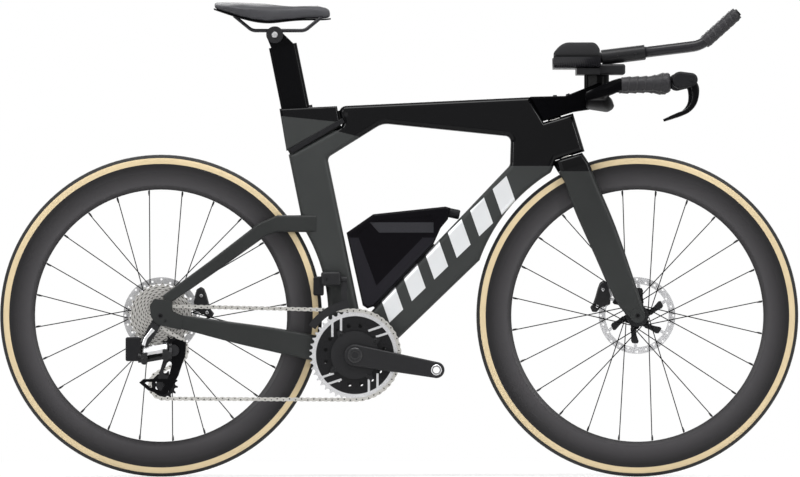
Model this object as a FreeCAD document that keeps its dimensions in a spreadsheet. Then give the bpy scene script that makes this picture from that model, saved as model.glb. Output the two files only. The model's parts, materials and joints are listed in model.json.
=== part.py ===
"""Time trial bicycle with disc brakes, wireless derailleurs and a two-pad cockpit.

The frame stands on the ground plane midway between the axles: +X forward, +Y to the bicycle's left, +Z up.
"""
import FreeCAD, Part
import math
import os
import re

import Sketcher
from FreeCAD import Placement, Rotation, Vector

# Driving dimensions in millimetres and degrees, grouped by the piece that they belong to
SIZES = {
    "layout": {
        "wheel_base": 994,
        "tyre_radius": 336,
        "chain_stay_length": 413,
        "bracket_drop": 82,
        "head_angle": 73,
        "fork_offset": 45,
        "seat_angle": 78.5,
        "seat_setback": 19.4,
        "rear_hub_width": 142,
        "front_hub_width": 100,
        "fit_gap": 0.05,
        "soft_gap": 0.3,
        "cut_overrun": 5,
    },
    "main frame": {
        "frame_width": 52,
        "frame_rear_width": 38,
        "frame_rounding": 11,
        "wheel_gap": 13,
        "seat_tube_front": 45,
        "seat_tube_back": 33.5,
        "down_tube_angle": 45.5,
        "down_tube_half": 39,
        "down_tube_flare": 8,
        "down_tube_length": 509,
        "down_tube_bend": 330,
        "top_tube_height": 526,
        "top_tube_slope": 2.7,
        "top_tube_length": 489,
        "gusset_height": 411,
        "gusset_along": 180,
        "gusset_depth": 41,
        "head_gusset_along": 446,
        "head_gusset_depth": 81,
        "corner_radius": 12,
        "gusset_radius": 40,
        "bracket_corner_along": 59,
        "bracket_shell_radius": 29,
        "bracket_shell_width": 85.5,
        "bracket_bore_radius": 21,
        "head_low": 360,
        "head_high": 443,
        "head_nose": 40,
        "head_side_back": 22,
        "stem_pocket_radius": 32,
        "stem_pocket_flare": 11,
        "stem_pocket_rise": 62,
        "crown_pocket_radius": 31.5,
        "crown_lip_back": 39,
        "crown_lip_drop": 20,
    },
    "seat mast": {
        "mast_pivot_reach": 146,
        "mast_pivot_radius": 17.5,
        "mast_pivot_gap": 1.5,
        "cheek_radius": 14,
        "mast_pin_radius": 6,
        "groove_height": 433,
        "groove_slope": 28.5,
        "groove_width": 9,
        "hinge_tongue_width": 18,
        "hinge_tongue_gap": 0.3,
        "baffle_width": 14,
        "baffle_depth": 20,
        "baffle_gap": 5,
        "baffle_start": 3,
        "baffle_length": 122,
    },
    "rear stays": {
        "stay_root_spread": 27.5,
        "chain_stay_depth": 54,
        "chain_stay_width": 20,
        "seat_stay_rise": 192,
        "dropout_rounding": 5,
        "seat_stay_depth": 36,
        "seat_stay_width": 16,
        "dropout_thickness": 9,
        "rear_axle_radius": 6,
        "front_axle_radius": 6,
        "axle_bore_radius": 3.5,
    },
    "seatpost and saddle": {
        "post_chord": 59,
        "post_width": 25,
        "post_insert": 62,
        "post_spare": 9,
        "post_length": 133,
        "post_head_width": 18,
        "clamp_back": 12,
        "clamp_rise": 25,
        "clamp_pin_radius": 5,
        "clamp_radius": 17.5,
        "clamp_width": 60,
        "rail_spacing": 44,
        "rail_radius": 3.5,
        "rail_length": 110,
        "rail_rise": 9,
        "rail_shift": 8,
        "rail_end": 38,
        "rail_end_rise": 31,
        "rail_bend": 22,
        "wedge_width": 15,
        "wedge_height": 34,
        "wedge_depth": 6,
        "saddle_length": 244,
        "saddle_width": 132,
        "saddle_height": 46,
        "saddle_clearance": 10,
        "saddle_tail_reach": 127,
        "shell_thickness": 3,
    },
    "steering": {
        "bearing_outer_radius": 20.9,
        "bearing_inner_radius": 15.2,
        "bearing_height": 8,
        "bearing_wall": 2.5,
        "steerer_radius": 14.3,
        "crown_gap": 1,
        "crown_width": 54,
        "crown_back_radius": 30,
        "crown_tyre_gap": 6,
        "blade_top_spread": 29,
        "blade_width": 16,
        "blade_depth": 66,
        "fork_foot_width": 9,
        "crown_rounding": 9,
        "crown_room_width": 42,
        "steerer_top": 486,
        "stem_rounding": 6,
        "stem_gap": 1.2,
        "stem_width": 46,
    },
    "cockpit": {
        "bar_reach": 92,
        "bar_rise": 465,
        "wing_lift": 22,
        "horn_reach": 51,
        "grip_lift": 4,
        "tape_thickness": 2.5,
        "bar_width": 400,
        "wing_chord": 58,
        "wing_thickness": 20,
        "grip_radius": 15.5,
        "grip_length": 108,
        "grip_swell": 5.5,
        "riser_back": 20,
        "riser_top": 44,
        "riser_chord": 52,
        "riser_width": 34,
        "bracket_back": 37,
        "bracket_depth": 102,
        "bracket_thickness": 22,
        "bracket_width": 140,
        "bracket_rounding": 5,
        "wing_plate_depth": 48,
        "wing_plate_width": 256,
        "wing_plate_thickness": 12,
        "pad_spacing": 212,
        "pad_length": 98,
        "pad_back": 85,
        "pad_width": 86,
        "pad_thickness": 14,
        "cup_thickness": 4,
        "cup_height": 24,
        "pad_height": 52,
        "extension_spacing": 96,
        "extension_radius": 11.1,
        "extension_slope": 7,
        "extension_tip_slope": 42,
        "extension_bend_radius": 60,
        "extension_back": 6,
        "extension_straight": 190,
        "extension_rise": 79,
        "extension_tip": 100,
        "sleeve_start": 17,
        "sleeve_radius": 15.5,
        "sleeve_length": 90,
        "taped_radius": 13.6,
        "taped_length": 92,
        "button_radius": 8,
        "button_length": 9,
        "button_rise": 3.5,
        "button_stroke": 1.5,
        "lever_body_length": 66,
        "lever_nose_radius": 14,
        "lever_body_height": 36,
        "lever_body_width": 30,
        "lever_body_rounding": 6,
        "lever_slot_gap": 0.6,
        "lever_thickness": 12,
        "lever_length": 92,
        "lever_pin_radius": 3,
        "lever_pin_ahead": 40,
        "lever_pin_rise": 6,
    },
    "wheels": {
        "tyre_width": 26,
        "tyre_wall": 2.4,
        "rim_depth": 53,
        "tyre_height": 20,
        "rim_width": 28,
        "rim_wall": 2.2,
        "rim_bed_drop": 10,
        "valve_radius": 3,
        "valve_length": 18,
        "spoke_radius": 1.05,
        "spoke_cross_angle": 62,
        "spoke_stagger": 1.9,
        "spoke_rim_spread": 1.5,
        "hub_flange_radius": 23,
        "hub_body_radius": 13,
        "flange_thickness": 8,
        "front_flange_spread": 21,
        "rear_left_flange": 32,
        "rear_right_flange": 17,
        "hub_cap_radius": 9.5,
        "rotor_radius": 80,
        "rotor_thickness": 1.8,
        "rotor_track": 14,
        "rotor_hub_radius": 24,
        "rotor_arm_width": 9,
        "rotor_arm_lean": 28,
        "rotor_hole_radius": 2.4,
        "front_rotor_place": 34.5,
        "rear_rotor_place": 55.5,
    },
    "drivetrain": {
        "chain_pitch": 12.7,
        "roller_radius": 3.85,
        "roller_seat_gap": 0.15,
        "tooth_rise": 2.1,
        "roller_width": 2.3,
        "plate_thickness": 0.62,
        "plate_gap": 0.12,
        "plate_height": 8.2,
        "cog_thickness": 1.5,
        "cog_spacing": 3.45,
        "cog_hole_radius": 5,
        "first_cog_place": 64,
        "freehub_radius": 15.5,
        "ring_thickness": 1.7,
        "outer_ring_place": 48,
        "inner_ring_place": 40.5,
        "ring_web_radius": 44,
        "ring_hole_radius": 4,
        "ring_post_radius": 5,
        "crank_length": 172.5,
        "crank_angle": 10.3,
        "crank_thickness": 14,
        "crank_rounding": 4,
        "crank_boss_radius": 22.5,
        "crank_eye_radius": 17,
        "pedal_face": 72.5,
        "pedal_thread_radius": 7.14,
        "spindle_radius": 14.5,
        "spider_radius": 50,
        "spider_lobe": 57,
        "spider_thickness": 5,
        "bracket_cup_radius": 26,
        "bracket_cup_lip": 3,
        "bracket_bearing_width": 11,
        "pulley_thickness": 1.8,
        "pulley_spread": 75,
        "pulley_bore_radius": 4,
        "pulley_hole_radius": 3.5,
    },
    "derailleurs": {
        "hanger_back": 15,
        "hanger_drop": 27,
        "hanger_eye_radius": 10,
        "hanger_thickness": 7,
        "guide_reach": 27,
        "guide_drop": 72,
        "cage_plate_thickness": 1.8,
        "cage_plate_gap": 4.2,
        "cage_end_radius": 15,
        "swing_slant": 41,
        "link_length": 46,
        "link_splay": 15,
        "link_spacing": 22,
        "link_end_radius": 5,
        "link_height": 14,
        "link_pin_radius": 2,
        "lug_thickness": 4,
        "lug_end_radius": 6.5,
        "lug_gap": 0.3,
        "lug_wall": 5,
        "lug_wall_reach": 8,
        "knuckle_reach": 16,
        "knuckle_drop": 2,
        "knuckle_place": 92,
        "knuckle_radius": 12,
        "knuckle_end": 100,
        "base_barrel_radius": 11,
        "base_barrel_length": 15,
        "battery_length": 28,
        "battery_height": 50,
        "battery_width": 24,
        "battery_rounding": 4,
        "swing_body_back": 70.8,
        "swing_body_length": 42,
        "swing_body_rise": 144,
        "swing_body_height": 30,
        "swing_body_end": 46,
        "swing_body_rounding": 6,
        "swing_battery_length": 18,
        "swing_battery_height": 40,
        "swing_battery_width": 24,
        "swing_pin_radius": 3,
        "swing_pin_place": 34,
        "swing_pin_rise": 158,
        "swing_arm_width": 12,
        "swing_cage_inner": 98.5,
        "swing_cage_outer": 115,
        "swing_cage_gap": 5,
        "swing_plate": 1.5,
    },
    "brakes": {
        "caliper_length": 50,
        "caliper_height": 66,
        "caliper_width": 27,
        "caliper_rounding": 6,
        "caliper_slot": 4.4,
        "rear_caliper_ahead": 85,
        "rear_caliper_rise": 27,
        "front_caliper_back": 73,
        "front_caliper_rise": 40,
        "rotor_room": 2,
    },
    "bottle": {
        "bottle_gap": 4,
        "bottle_width": 52,
        "bottle_rounding": 6,
        "bottle_panel_depth": 1.5,
        "rail_width": 20,
        "spout_radius": 10,
        "spout_length": 22,
        "bottle_height": 213,
        "bottle_foot_ahead": 38.1,
        "bottle_foot_rise": 101,
    },
}

RING_TEETH = (46, 33)
COG_TEETH = (10, 11, 12, 13, 14, 15, 17, 19, 21, 24, 28, 33)
PULLEY_TEETH = 14
SPOKES = 24

DOC = FreeCAD.newDocument("time_trial_bike")
SHEET = DOC.addObject("Spreadsheet::Sheet", "Sizes")
PIECES = []


def fill_sheet():
    """Write every driving dimension into its own named cell."""
    row = 0
    for group in SIZES.values():
        for name, number in group.items():
            row += 1
            SHEET.set(f"A{row}", name)
            SHEET.set(f"B{row}", str(number))
            SHEET.setAlias(f"B{row}", name)
    DOC.recompute()


class Sheet:
    """Reads a driving dimension as a plain number: S.tyre_radius."""

    def __getattr__(self, name):
        return float(SHEET.get(name))


S = Sheet()
fill_sheet()


def bound(text):
    """Turn words of the sheet into references that an object's expression can read."""
    return re.sub(r"[a-z]+(?:_[a-z0-9]+)+", r"Sizes.\g<0>", str(text))


def value(text):
    """Number that a sum of sheet words comes to."""
    return float(SHEET.evalExpression(str(text)))


def piece(thing):
    """Keep a finished sub-part for the export."""
    PIECES.append(thing)
    return thing


# Places of the main points, as sums of sheet words
REAR_X = "(-wheel_base / 2)"
FRONT_X = "(wheel_base / 2)"
AXLE_Z = "tyre_radius"
BRACKET_X = f"({REAR_X} + sqrt(chain_stay_length^2 - bracket_drop^2))"
BRACKET_Z = "(tyre_radius - bracket_drop)"
STEER_X = f"({FRONT_X} - fork_offset * sin(head_angle))"
STEER_Z = f"({AXLE_Z} - fork_offset * cos(head_angle))"
SEAT_X = f"({BRACKET_X} - seat_setback)"
RIM_OUTER = "(tyre_radius - tyre_height)"


def steer(forward, along):
    """Side-view place of a point given ahead of the steering axis and along it."""
    across = f"({STEER_X} + ({forward}) * sin(head_angle) - ({along}) * cos(head_angle))"
    up = f"({STEER_Z} + ({forward}) * cos(head_angle) + ({along}) * sin(head_angle))"
    return across, up


def seat(forward, along):
    """Side-view place of a point given ahead of the seat axis and along it from the bottom bracket."""
    across = f"({SEAT_X} + ({forward}) * sin(seat_angle) - ({along}) * cos(seat_angle))"
    up = f"({BRACKET_Z} + ({forward}) * cos(seat_angle) + ({along}) * sin(seat_angle))"
    return across, up


def down(above, along):
    """Side-view place of a point given above the down tube's middle line and along it."""
    across = f"({BRACKET_X} + ({along}) * cos(down_tube_angle) - ({above}) * sin(down_tube_angle))"
    up = f"({BRACKET_Z} + ({along}) * sin(down_tube_angle) + ({above}) * cos(down_tube_angle))"
    return across, up


def spot(place, sideways="0"):
    """Vector for a side-view place and a sideways distance, all in sheet words."""
    return Vector(value(place[0]), value(sideways), value(place[1]))


# Sketch and body helpers
def origin_plane(body, role):
    return next(plane for plane in body.Origin.OriginFeatures if plane.Role == role)


def trim_corner(before, corner, after, radius):
    """Arc that rounds a corner: its end points and the point midway along it."""
    back = (before - corner).normalize()
    ahead = (after - corner).normalize()
    half = back.getAngle(ahead) / 2
    reach = radius / math.tan(half)
    middle = (back + ahead).normalize()
    summit = corner + middle * (radius / math.sin(half) - radius)
    return corner + back * reach, summit, corner + ahead * reach


def draw_outline(sketch, corners):
    """Closed outline; a corner is (across, up) or (across, up, rounding), each held by the sheet."""
    count = len(corners)
    points = [Vector(value(corner[0]), value(corner[1]), 0) for corner in corners]
    starts, ends, arcs = [], [], {}
    for index, corner in enumerate(corners):
        if len(corner) == 3:
            first, summit, last = trim_corner(points[index - 1], points[index], points[(index + 1) % count],
                                              value(corner[2]))
            arcs[index] = Part.Arc(first, summit, last)
            ends.append(first)
            starts.append(last)
        else:
            ends.append(points[index])
            starts.append(points[index])
    lines = [sketch.addGeometry(Part.LineSegment(starts[index], ends[(index + 1) % count]))
             for index in range(count)]
    rules, bindings = [], []
    for index, corner in enumerate(corners):
        into, out = lines[index - 1], lines[index]
        if index in arcs:
            arc = sketch.addGeometry(arcs[index])
            holder = sketch.addGeometry(Part.Point(points[index]), True)
            meets_start = sketch.getPoint(arc, 1).distanceToPoint(ends[index]) < S.fit_gap
            first, last = (1, 2) if meets_start else (2, 1)
            rules.append(Sketcher.Constraint("Tangent", into, 2, arc, first))
            rules.append(Sketcher.Constraint("Tangent", arc, last, out, 1))
            rules.append(Sketcher.Constraint("PointOnObject", holder, 1, into))
            rules.append(Sketcher.Constraint("PointOnObject", holder, 1, out))
            rules.append(Sketcher.Constraint("Radius", arc, value(corner[2])))
            bindings.append((len(rules) - 1, corner[2]))
            keeper = (holder, 1)
        else:
            rules.append(Sketcher.Constraint("Coincident", into, 2, out, 1))
            keeper = (out, 1)
        for kind, word, distance in (("DistanceX", corner[0], points[index].x),
                                     ("DistanceY", corner[1], points[index].y)):
            rules.append(Sketcher.Constraint(kind, -1, 1, *keeper, distance))
            bindings.append((len(rules) - 1, word))
    base = sketch.ConstraintCount
    sketch.addConstraint(rules)
    for place, word in bindings:
        sketch.setExpression(f"Constraints[{base + place}]", bound(word))


def draw_circle(sketch, across, up, radius):
    """Circle whose centre and radius are held by the sheet."""
    centre = Vector(value(across), value(up), 0)
    ring = sketch.addGeometry(Part.Circle(centre, Vector(0, 0, 1), value(radius)))
    base = sketch.ConstraintCount
    sketch.addConstraint([
        Sketcher.Constraint("DistanceX", -1, 1, ring, 3, centre.x),
        Sketcher.Constraint("DistanceY", -1, 1, ring, 3, centre.y),
        Sketcher.Constraint("Radius", ring, value(radius))])
    for offset, word in enumerate((across, up, radius)):
        sketch.setExpression(f"Constraints[{base + offset}]", bound(word))


def new_sketch(body, role, outlines=(), circles=()):
    sketch = body.newObject("Sketcher::SketchObject", body.Label + "_sketch")
    sketch.AttachmentSupport = [(origin_plane(body, role), "")]
    sketch.MapMode = "FlatFace"
    for corners in outlines:
        draw_outline(sketch, corners)
    for across, up, radius in circles:
        draw_circle(sketch, across, up, radius)
    return sketch


def new_body(label):
    body = DOC.addObject("PartDesign::Body", label)
    body.Label = label
    return body


def pad(body, length, outlines=(), circles=(), role="XZ_Plane"):
    """Plate of the outline, as thick to one side of its plane as to the other."""
    feature = body.newObject("PartDesign::Pad", body.Label + "_pad")
    feature.Profile = new_sketch(body, role, outlines, circles)
    feature.SideType = "Symmetric"
    feature.setExpression("Length", bound(length))
    return feature


def pocket(body, length, outlines=(), circles=(), role="XZ_Plane"):
    """Cut of the outline, as deep to one side of its plane as to the other."""
    feature = body.newObject("PartDesign::Pocket", body.Label + "_pocket")
    feature.Profile = new_sketch(body, role, outlines, circles)
    feature.SideType = "Symmetric"
    feature.setExpression("Length", bound(length))
    return feature


def turn(body, corners, role="YZ_Plane", axis="H_Axis", kind="PartDesign::Revolution"):
    """Turned form: by default the outline is (sideways, radius) and turns about the Y axis."""
    feature = body.newObject(kind, body.Label + "_turn")
    feature.Profile = new_sketch(body, role, [corners])
    feature.ReferenceAxis = (feature.Profile[0], [axis])
    feature.Angle = 360
    return feature


def put(thing, across="0", sideways="0", up="0", lean=None):
    """Bind a thing's place to the sheet; lean turns it about the Y axis."""
    if lean is not None:
        thing.Placement = Placement(Vector(), Rotation(Vector(0, 1, 0), value(lean)))
        thing.setExpression("Placement.Rotation.Angle", bound(lean))
    for axis, word in (("x", across), ("y", sideways), ("z", up)):
        thing.setExpression(f"Placement.Base.{axis}", bound(word))
    return thing


def on_steering(thing):
    """Stand a thing on the steering axis: its X is ahead of the axis and its Z runs along it."""
    return put(thing, STEER_X, "0", STEER_Z, "head_angle - 90")


def solid_piece(label, shape):
    """Sub-part whose form is worked out from the sheet's sizes."""
    thing = DOC.addObject("Part::Feature", label)
    thing.Label = label
    thing.Shape = shape
    return thing


def group(label, members):
    """One node that holds several solids of the same kind."""
    thing = DOC.addObject("Part::Compound", label)
    thing.Label = label
    thing.Links = members
    return thing


def largest(shape):
    """The main solid of a cut shape, without loose offcuts."""
    return max(shape.Solids, key=lambda solid: solid.Volume)


def seated(shape, *neighbours):
    """A shape with the room of its neighbours taken out, so that it lies on them face to face."""
    DOC.recompute()
    return shape.cut([neighbour.Shape for neighbour in neighbours]).removeSplitter()


def boolean(label, kind, base, tool):
    thing = DOC.addObject(kind, label)
    thing.Label = label
    thing.Base = base
    thing.Tool = tool
    return thing


def rounded_section(centre, along, upward, depth, width, round_share):
    """Wire of a rounded rectangle square to a direction: depth runs up, width runs sideways."""
    along = Vector(along).normalize()
    side = along.cross(Vector(upward)).normalize()
    up = side.cross(along).normalize()
    radius = min(depth, width) / 2 * round_share
    flat_up, flat_side = depth / 2 - radius, width / 2 - radius
    diagonal = radius * math.sqrt(0.5)
    edges = []
    corner_signs = ((1, 1), (-1, 1), (-1, -1), (1, -1))
    arcs = []
    for order, (side_sign, up_sign) in enumerate(corner_signs):
        middle = centre + side * (side_sign * flat_side) + up * (up_sign * flat_up)
        tip_side = middle + side * (side_sign * radius)
        tip_up = middle + up * (up_sign * radius)
        summit = middle + side * (side_sign * diagonal) + up * (up_sign * diagonal)
        first, last = (tip_side, tip_up) if order % 2 == 0 else (tip_up, tip_side)
        arcs.append((first, summit, last))
    for order, (first, summit, last) in enumerate(arcs):
        edges.append(Part.Arc(first, summit, last).toShape())
        edges.append(Part.LineSegment(last, arcs[(order + 1) % 4][0]).toShape())
    return Part.Wire(edges)


def aero_section(centre, along, forward, depth, width, tail_share):
    """Wire of a wing section: round nose ahead, flat sides and a blunter tail of a share of the width."""
    along = Vector(along).normalize()
    side = along.cross(Vector(forward)).normalize()
    ahead = side.cross(along).normalize()
    nose, tail = width / 2, width / 2 * tail_share
    front = centre + ahead * (depth / 2 - nose * NOSE_STRETCH_SHARE)
    back = centre - ahead * (depth / 2 - tail)
    tip = centre + ahead * (depth / 2)
    end = centre - ahead * (depth / 2)
    nose_way = ahead * (nose * NOSE_STRETCH_SHARE * math.sqrt(0.5)) + side * (nose * math.sqrt(0.5))
    nose_other = ahead * (nose * NOSE_STRETCH_SHARE * math.sqrt(0.5)) - side * (nose * math.sqrt(0.5))
    tail_way = ahead * (-tail * math.sqrt(0.5)) + side * (tail * math.sqrt(0.5))
    tail_other = ahead * (-tail * math.sqrt(0.5)) - side * (tail * math.sqrt(0.5))
    edges = [
        Part.Arc(front + side * nose, front + nose_way, tip).toShape(),
        Part.Arc(tip, front + nose_other, front - side * nose).toShape(),
        Part.LineSegment(front - side * nose, back - side * tail).toShape(),
        Part.Arc(back - side * tail, back + tail_other, end).toShape(),
        Part.Arc(end, back + tail_way, back + side * tail).toShape(),
        Part.LineSegment(back + side * tail, front + side * nose).toShape(),
    ]
    return Part.Wire(edges)


NOSE_STRETCH_SHARE = 1.5


def loft(wires, ruled=False):
    return Part.makeLoft(wires, True, ruled)


def bar(start, end, radius):
    """Round bar between two points."""
    return Part.makeCylinder(radius, (end - start).Length, start, end - start)


def block(middle, length, width, height):
    """Block about its middle point."""
    return Part.makeBox(length, width, height, middle - Vector(length / 2, width / 2, height / 2))


def rounded_block(middle, length, width, height, radius):
    shape = block(middle, length, width, height)
    return shape.makeFillet(radius, shape.Edges)


def flat_plate(points, sideways, thickness):
    """Plate of a straight-sided side-view outline, its middle plane at the sideways distance."""
    corners = [Vector(point[0], sideways - thickness / 2, point[1]) for point in points]
    face = Part.Face(Part.makePolygon(corners + corners[:1]))
    return face.extrude(Vector(0, thickness, 0))


def hull_plate(first, first_radius, last, last_radius, sideways, thickness):
    """Plate of the outline round two discs, as a link or a crank arm has."""
    start, finish = Vector(first[0], 0, first[1]), Vector(last[0], 0, last[1])
    reach = (finish - start).Length
    ahead = (finish - start).normalize()
    over = Vector(-ahead.z, 0, ahead.x)
    lean = (first_radius - last_radius) / reach
    rise = math.sqrt(1 - lean * lean)

    def rim_point(centre, radius, sign):
        return centre + ahead * (radius * lean) + over * (sign * radius * rise)

    edges = [
        Part.LineSegment(rim_point(start, first_radius, 1), rim_point(finish, last_radius, 1)).toShape(),
        Part.Arc(rim_point(finish, last_radius, 1), finish + ahead * last_radius,
                 rim_point(finish, last_radius, -1)).toShape(),
        Part.LineSegment(rim_point(finish, last_radius, -1), rim_point(start, first_radius, -1)).toShape(),
        Part.Arc(rim_point(start, first_radius, -1), start - ahead * first_radius,
                 rim_point(start, first_radius, 1)).toShape(),
    ]
    face = Part.Face(Part.Wire(edges))
    face.translate(Vector(0, sideways - thickness / 2, 0))
    return face.extrude(Vector(0, thickness, 0))


def groove(along, above):
    """Side-view place of a point given along the mast's groove from its rear end and above its lower edge."""
    start = seat("-seat_tube_back", "groove_height")
    across = f"({start[0]} + ({along}) * cos(groove_slope) - ({above}) * sin(groove_slope))"
    up = f"({start[1]} + ({along}) * sin(groove_slope) + ({above}) * cos(groove_slope))"
    return across, up


def top(along, above):
    """Side-view place of a point given along the top tube's upper line from the seat axis and above it."""
    start = seat("0", "top_tube_height")
    across = f"({start[0]} + ({along}) * cos(top_tube_slope) - ({above}) * sin(top_tube_slope))"
    up = f"({start[1]} + ({along}) * sin(top_tube_slope) + ({above}) * cos(top_tube_slope))"
    return across, up


PIVOT = groove("mast_pivot_reach", "mast_pivot_radius")
PIVOT_ALONG = f"((({PIVOT[0]}) - ({top('0', '0')[0]})) / cos(top_tube_slope))"
WHEEL_CUTS = [(REAR_X, AXLE_Z, "tyre_radius + wheel_gap"), (FRONT_X, AXLE_Z, "tyre_radius + wheel_gap")]


def side_edges(shape, least):
    """Names of the edges that run along a plate's two sides."""
    names = []
    for number, edge in enumerate(shape.Edges, 1):
        box = edge.BoundBox
        if box.YMin > least or box.YMax < -least:
            names.append(f"Edge{number}")
    return names


def round_sides(body, radius, least):
    """Round the edges of both sides of a plate-like body."""
    DOC.recompute()
    base = body.Tip
    feature = body.newObject("PartDesign::Fillet", body.Label + "_rounding")
    feature.Base = (base, side_edges(base.Shape, least))
    feature.setExpression("Radius", bound(radius))
    return feature


def taper_sides(body):
    """Narrow a frame piece from the head tube's width to the seat tube's."""
    rear = f"({SEAT_X} - top_tube_height)"
    front = steer("head_nose", "head_low")[0]
    corners = []
    for sign in ("", "-"):
        corners.append([(rear, f"{sign}(frame_rear_width / 2)"), (front, f"{sign}(frame_width / 2)"),
                        (front, f"{sign}frame_width"), (rear, f"{sign}frame_width")])
    pocket(body, "2 * (tyre_radius + top_tube_height) + top_tube_length", corners, role="XY_Plane")


def make_main_frame():
    """One moulding: head tube, top tube, down tube, seat tube and bottom bracket shell."""
    body = new_body("main_frame")
    outer = [
        groove("0", "0"),
        groove("mast_pivot_reach - mast_pivot_radius", "0") + ("cheek_radius / 2",),
        top(f"{PIVOT_ALONG} - mast_pivot_radius", "0") + ("cheek_radius",),
        top("top_tube_length", "0"),
        steer("-head_side_back", "head_high"),
        steer("head_nose", "head_high"),
        steer("head_nose", "head_low"),
        steer("-head_side_back", "head_low"),
        steer("-crown_lip_back", "head_low - crown_lip_drop"),
        down("-down_tube_half - down_tube_flare", "down_tube_bend"),
        down("-down_tube_half", "bracket_shell_radius"),
        (f"{BRACKET_X} + bracket_shell_radius / 3", f"{BRACKET_Z} - bracket_shell_radius * 6 / 5"),
        (f"{BRACKET_X} - bracket_shell_radius * 4 / 3", f"{BRACKET_Z} - bracket_shell_radius * 4 / 5"),
        seat("-seat_tube_back", "0"),
    ]
    opening = [
        seat("seat_tube_front", "gusset_height") + ("corner_radius",),
        top("gusset_along", "-gusset_depth") + ("gusset_radius",),
        top("head_gusset_along", "-head_gusset_depth") + ("corner_radius",),
        down("down_tube_half + down_tube_flare", "down_tube_length") + ("corner_radius",),
        down("down_tube_half", "bracket_corner_along") + ("corner_radius",),
    ]
    pad(body, "frame_width", [outer, opening])
    pocket(body, "2 * frame_width", circles=WHEEL_CUTS)
    taper_sides(body)
    round_sides(body, "frame_rounding", value("frame_rear_width / 4"))
    pad(body, "bracket_shell_width", circles=[(BRACKET_X, BRACKET_Z, "bracket_shell_radius")])
    pocket(body, "2 * bracket_shell_width", circles=[(BRACKET_X, BRACKET_Z, "bracket_bore_radius")])
    pocket(body, "hinge_tongue_width + 2 * hinge_tongue_gap",
           circles=[PIVOT + ("mast_pivot_radius + mast_pivot_gap",)])
    pocket(body, "2 * frame_width", circles=[PIVOT + ("mast_pin_radius",)])
    pocket(body, "baffle_width + 2 * baffle_gap", [[
        groove("baffle_start - baffle_gap", "groove_width"),
        groove("baffle_start + baffle_length + baffle_gap", "groove_width"),
        groove("baffle_start + baffle_length + baffle_gap", "-baffle_depth - baffle_gap"),
        groove("baffle_start - baffle_gap", "-baffle_depth - baffle_gap")]])
    bore_head(body)
    return body


def bore_head(body):
    """Steerer bore, bearing seats, round crown pocket below and flared stem pocket above."""
    bottom = "head_low - crown_lip_drop - cut_overrun"
    summit = "head_high + stem_pocket_rise"
    profile = [
        steer("0", bottom),
        steer("crown_pocket_radius", bottom),
        steer("crown_pocket_radius", "head_low"),
        steer("bearing_outer_radius", "head_low"),
        steer("bearing_outer_radius", "head_low + bearing_height"),
        steer("bearing_inner_radius + bearing_wall", "head_low + bearing_height"),
        steer("bearing_inner_radius + bearing_wall", "head_high - bearing_height"),
        steer("bearing_outer_radius", "head_high - bearing_height"),
        steer("bearing_outer_radius", "head_high"),
        steer("stem_pocket_radius", "head_high"),
        steer("stem_pocket_radius + stem_pocket_flare", summit),
        steer("0", summit),
    ]
    cut = body.newObject("PartDesign::Groove", "head_bore")
    sketch = new_sketch(body, "XZ_Plane", [profile])
    foot, tip = steer("0", "0"), steer("0", "head_high")
    line = sketch.addGeometry(Part.LineSegment(Vector(value(foot[0]), value(foot[1]), 0),
                                               Vector(value(tip[0]), value(tip[1]), 0)), True)
    base = sketch.ConstraintCount
    words = []
    for end, place in ((1, foot), (2, tip)):
        sketch.addConstraint([
            Sketcher.Constraint("DistanceX", -1, 1, line, end, value(place[0])),
            Sketcher.Constraint("DistanceY", -1, 1, line, end, value(place[1]))])
        words.extend(place)
    for offset, word in enumerate(words):
        sketch.setExpression(f"Constraints[{base + offset}]", bound(word))
    cut.Profile = sketch
    cut.ReferenceAxis = (sketch, ["Axis0"])
    cut.Angle = 360


MAIN_FRAME = piece(make_main_frame())


# Seat mast, seatpost and saddle
POST_OUTLINE_SHARES = ((0.5, 0.5, 0.42), (-0.5, 0.4, 0.3))


def post_outline(clearance):
    """Seatpost section seen along its axis: round nose ahead, blunter tail behind."""
    corners = []
    for sign in ("", "-"):
        side = []
        for ahead, out, rounding in POST_OUTLINE_SHARES:
            end = "+" if ahead > 0 else "-"
            side.append((f"post_chord * {ahead} {end} {clearance}",
                         f"{sign}(post_width * {out} + {clearance})",
                         f"post_width * {rounding}"))
        corners.extend(side if sign == "" else side[::-1])
    return corners


def rise(body, length, outline):
    """Bar of an outline that rises along the body's own Z axis."""
    feature = body.newObject("PartDesign::Pad", body.Label + "_pad")
    feature.Profile = new_sketch(body, "XY_Plane", [outline])
    feature.setExpression("Length", bound(length))
    return feature


POST_LOW = "(top_tube_height - post_insert)"


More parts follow.
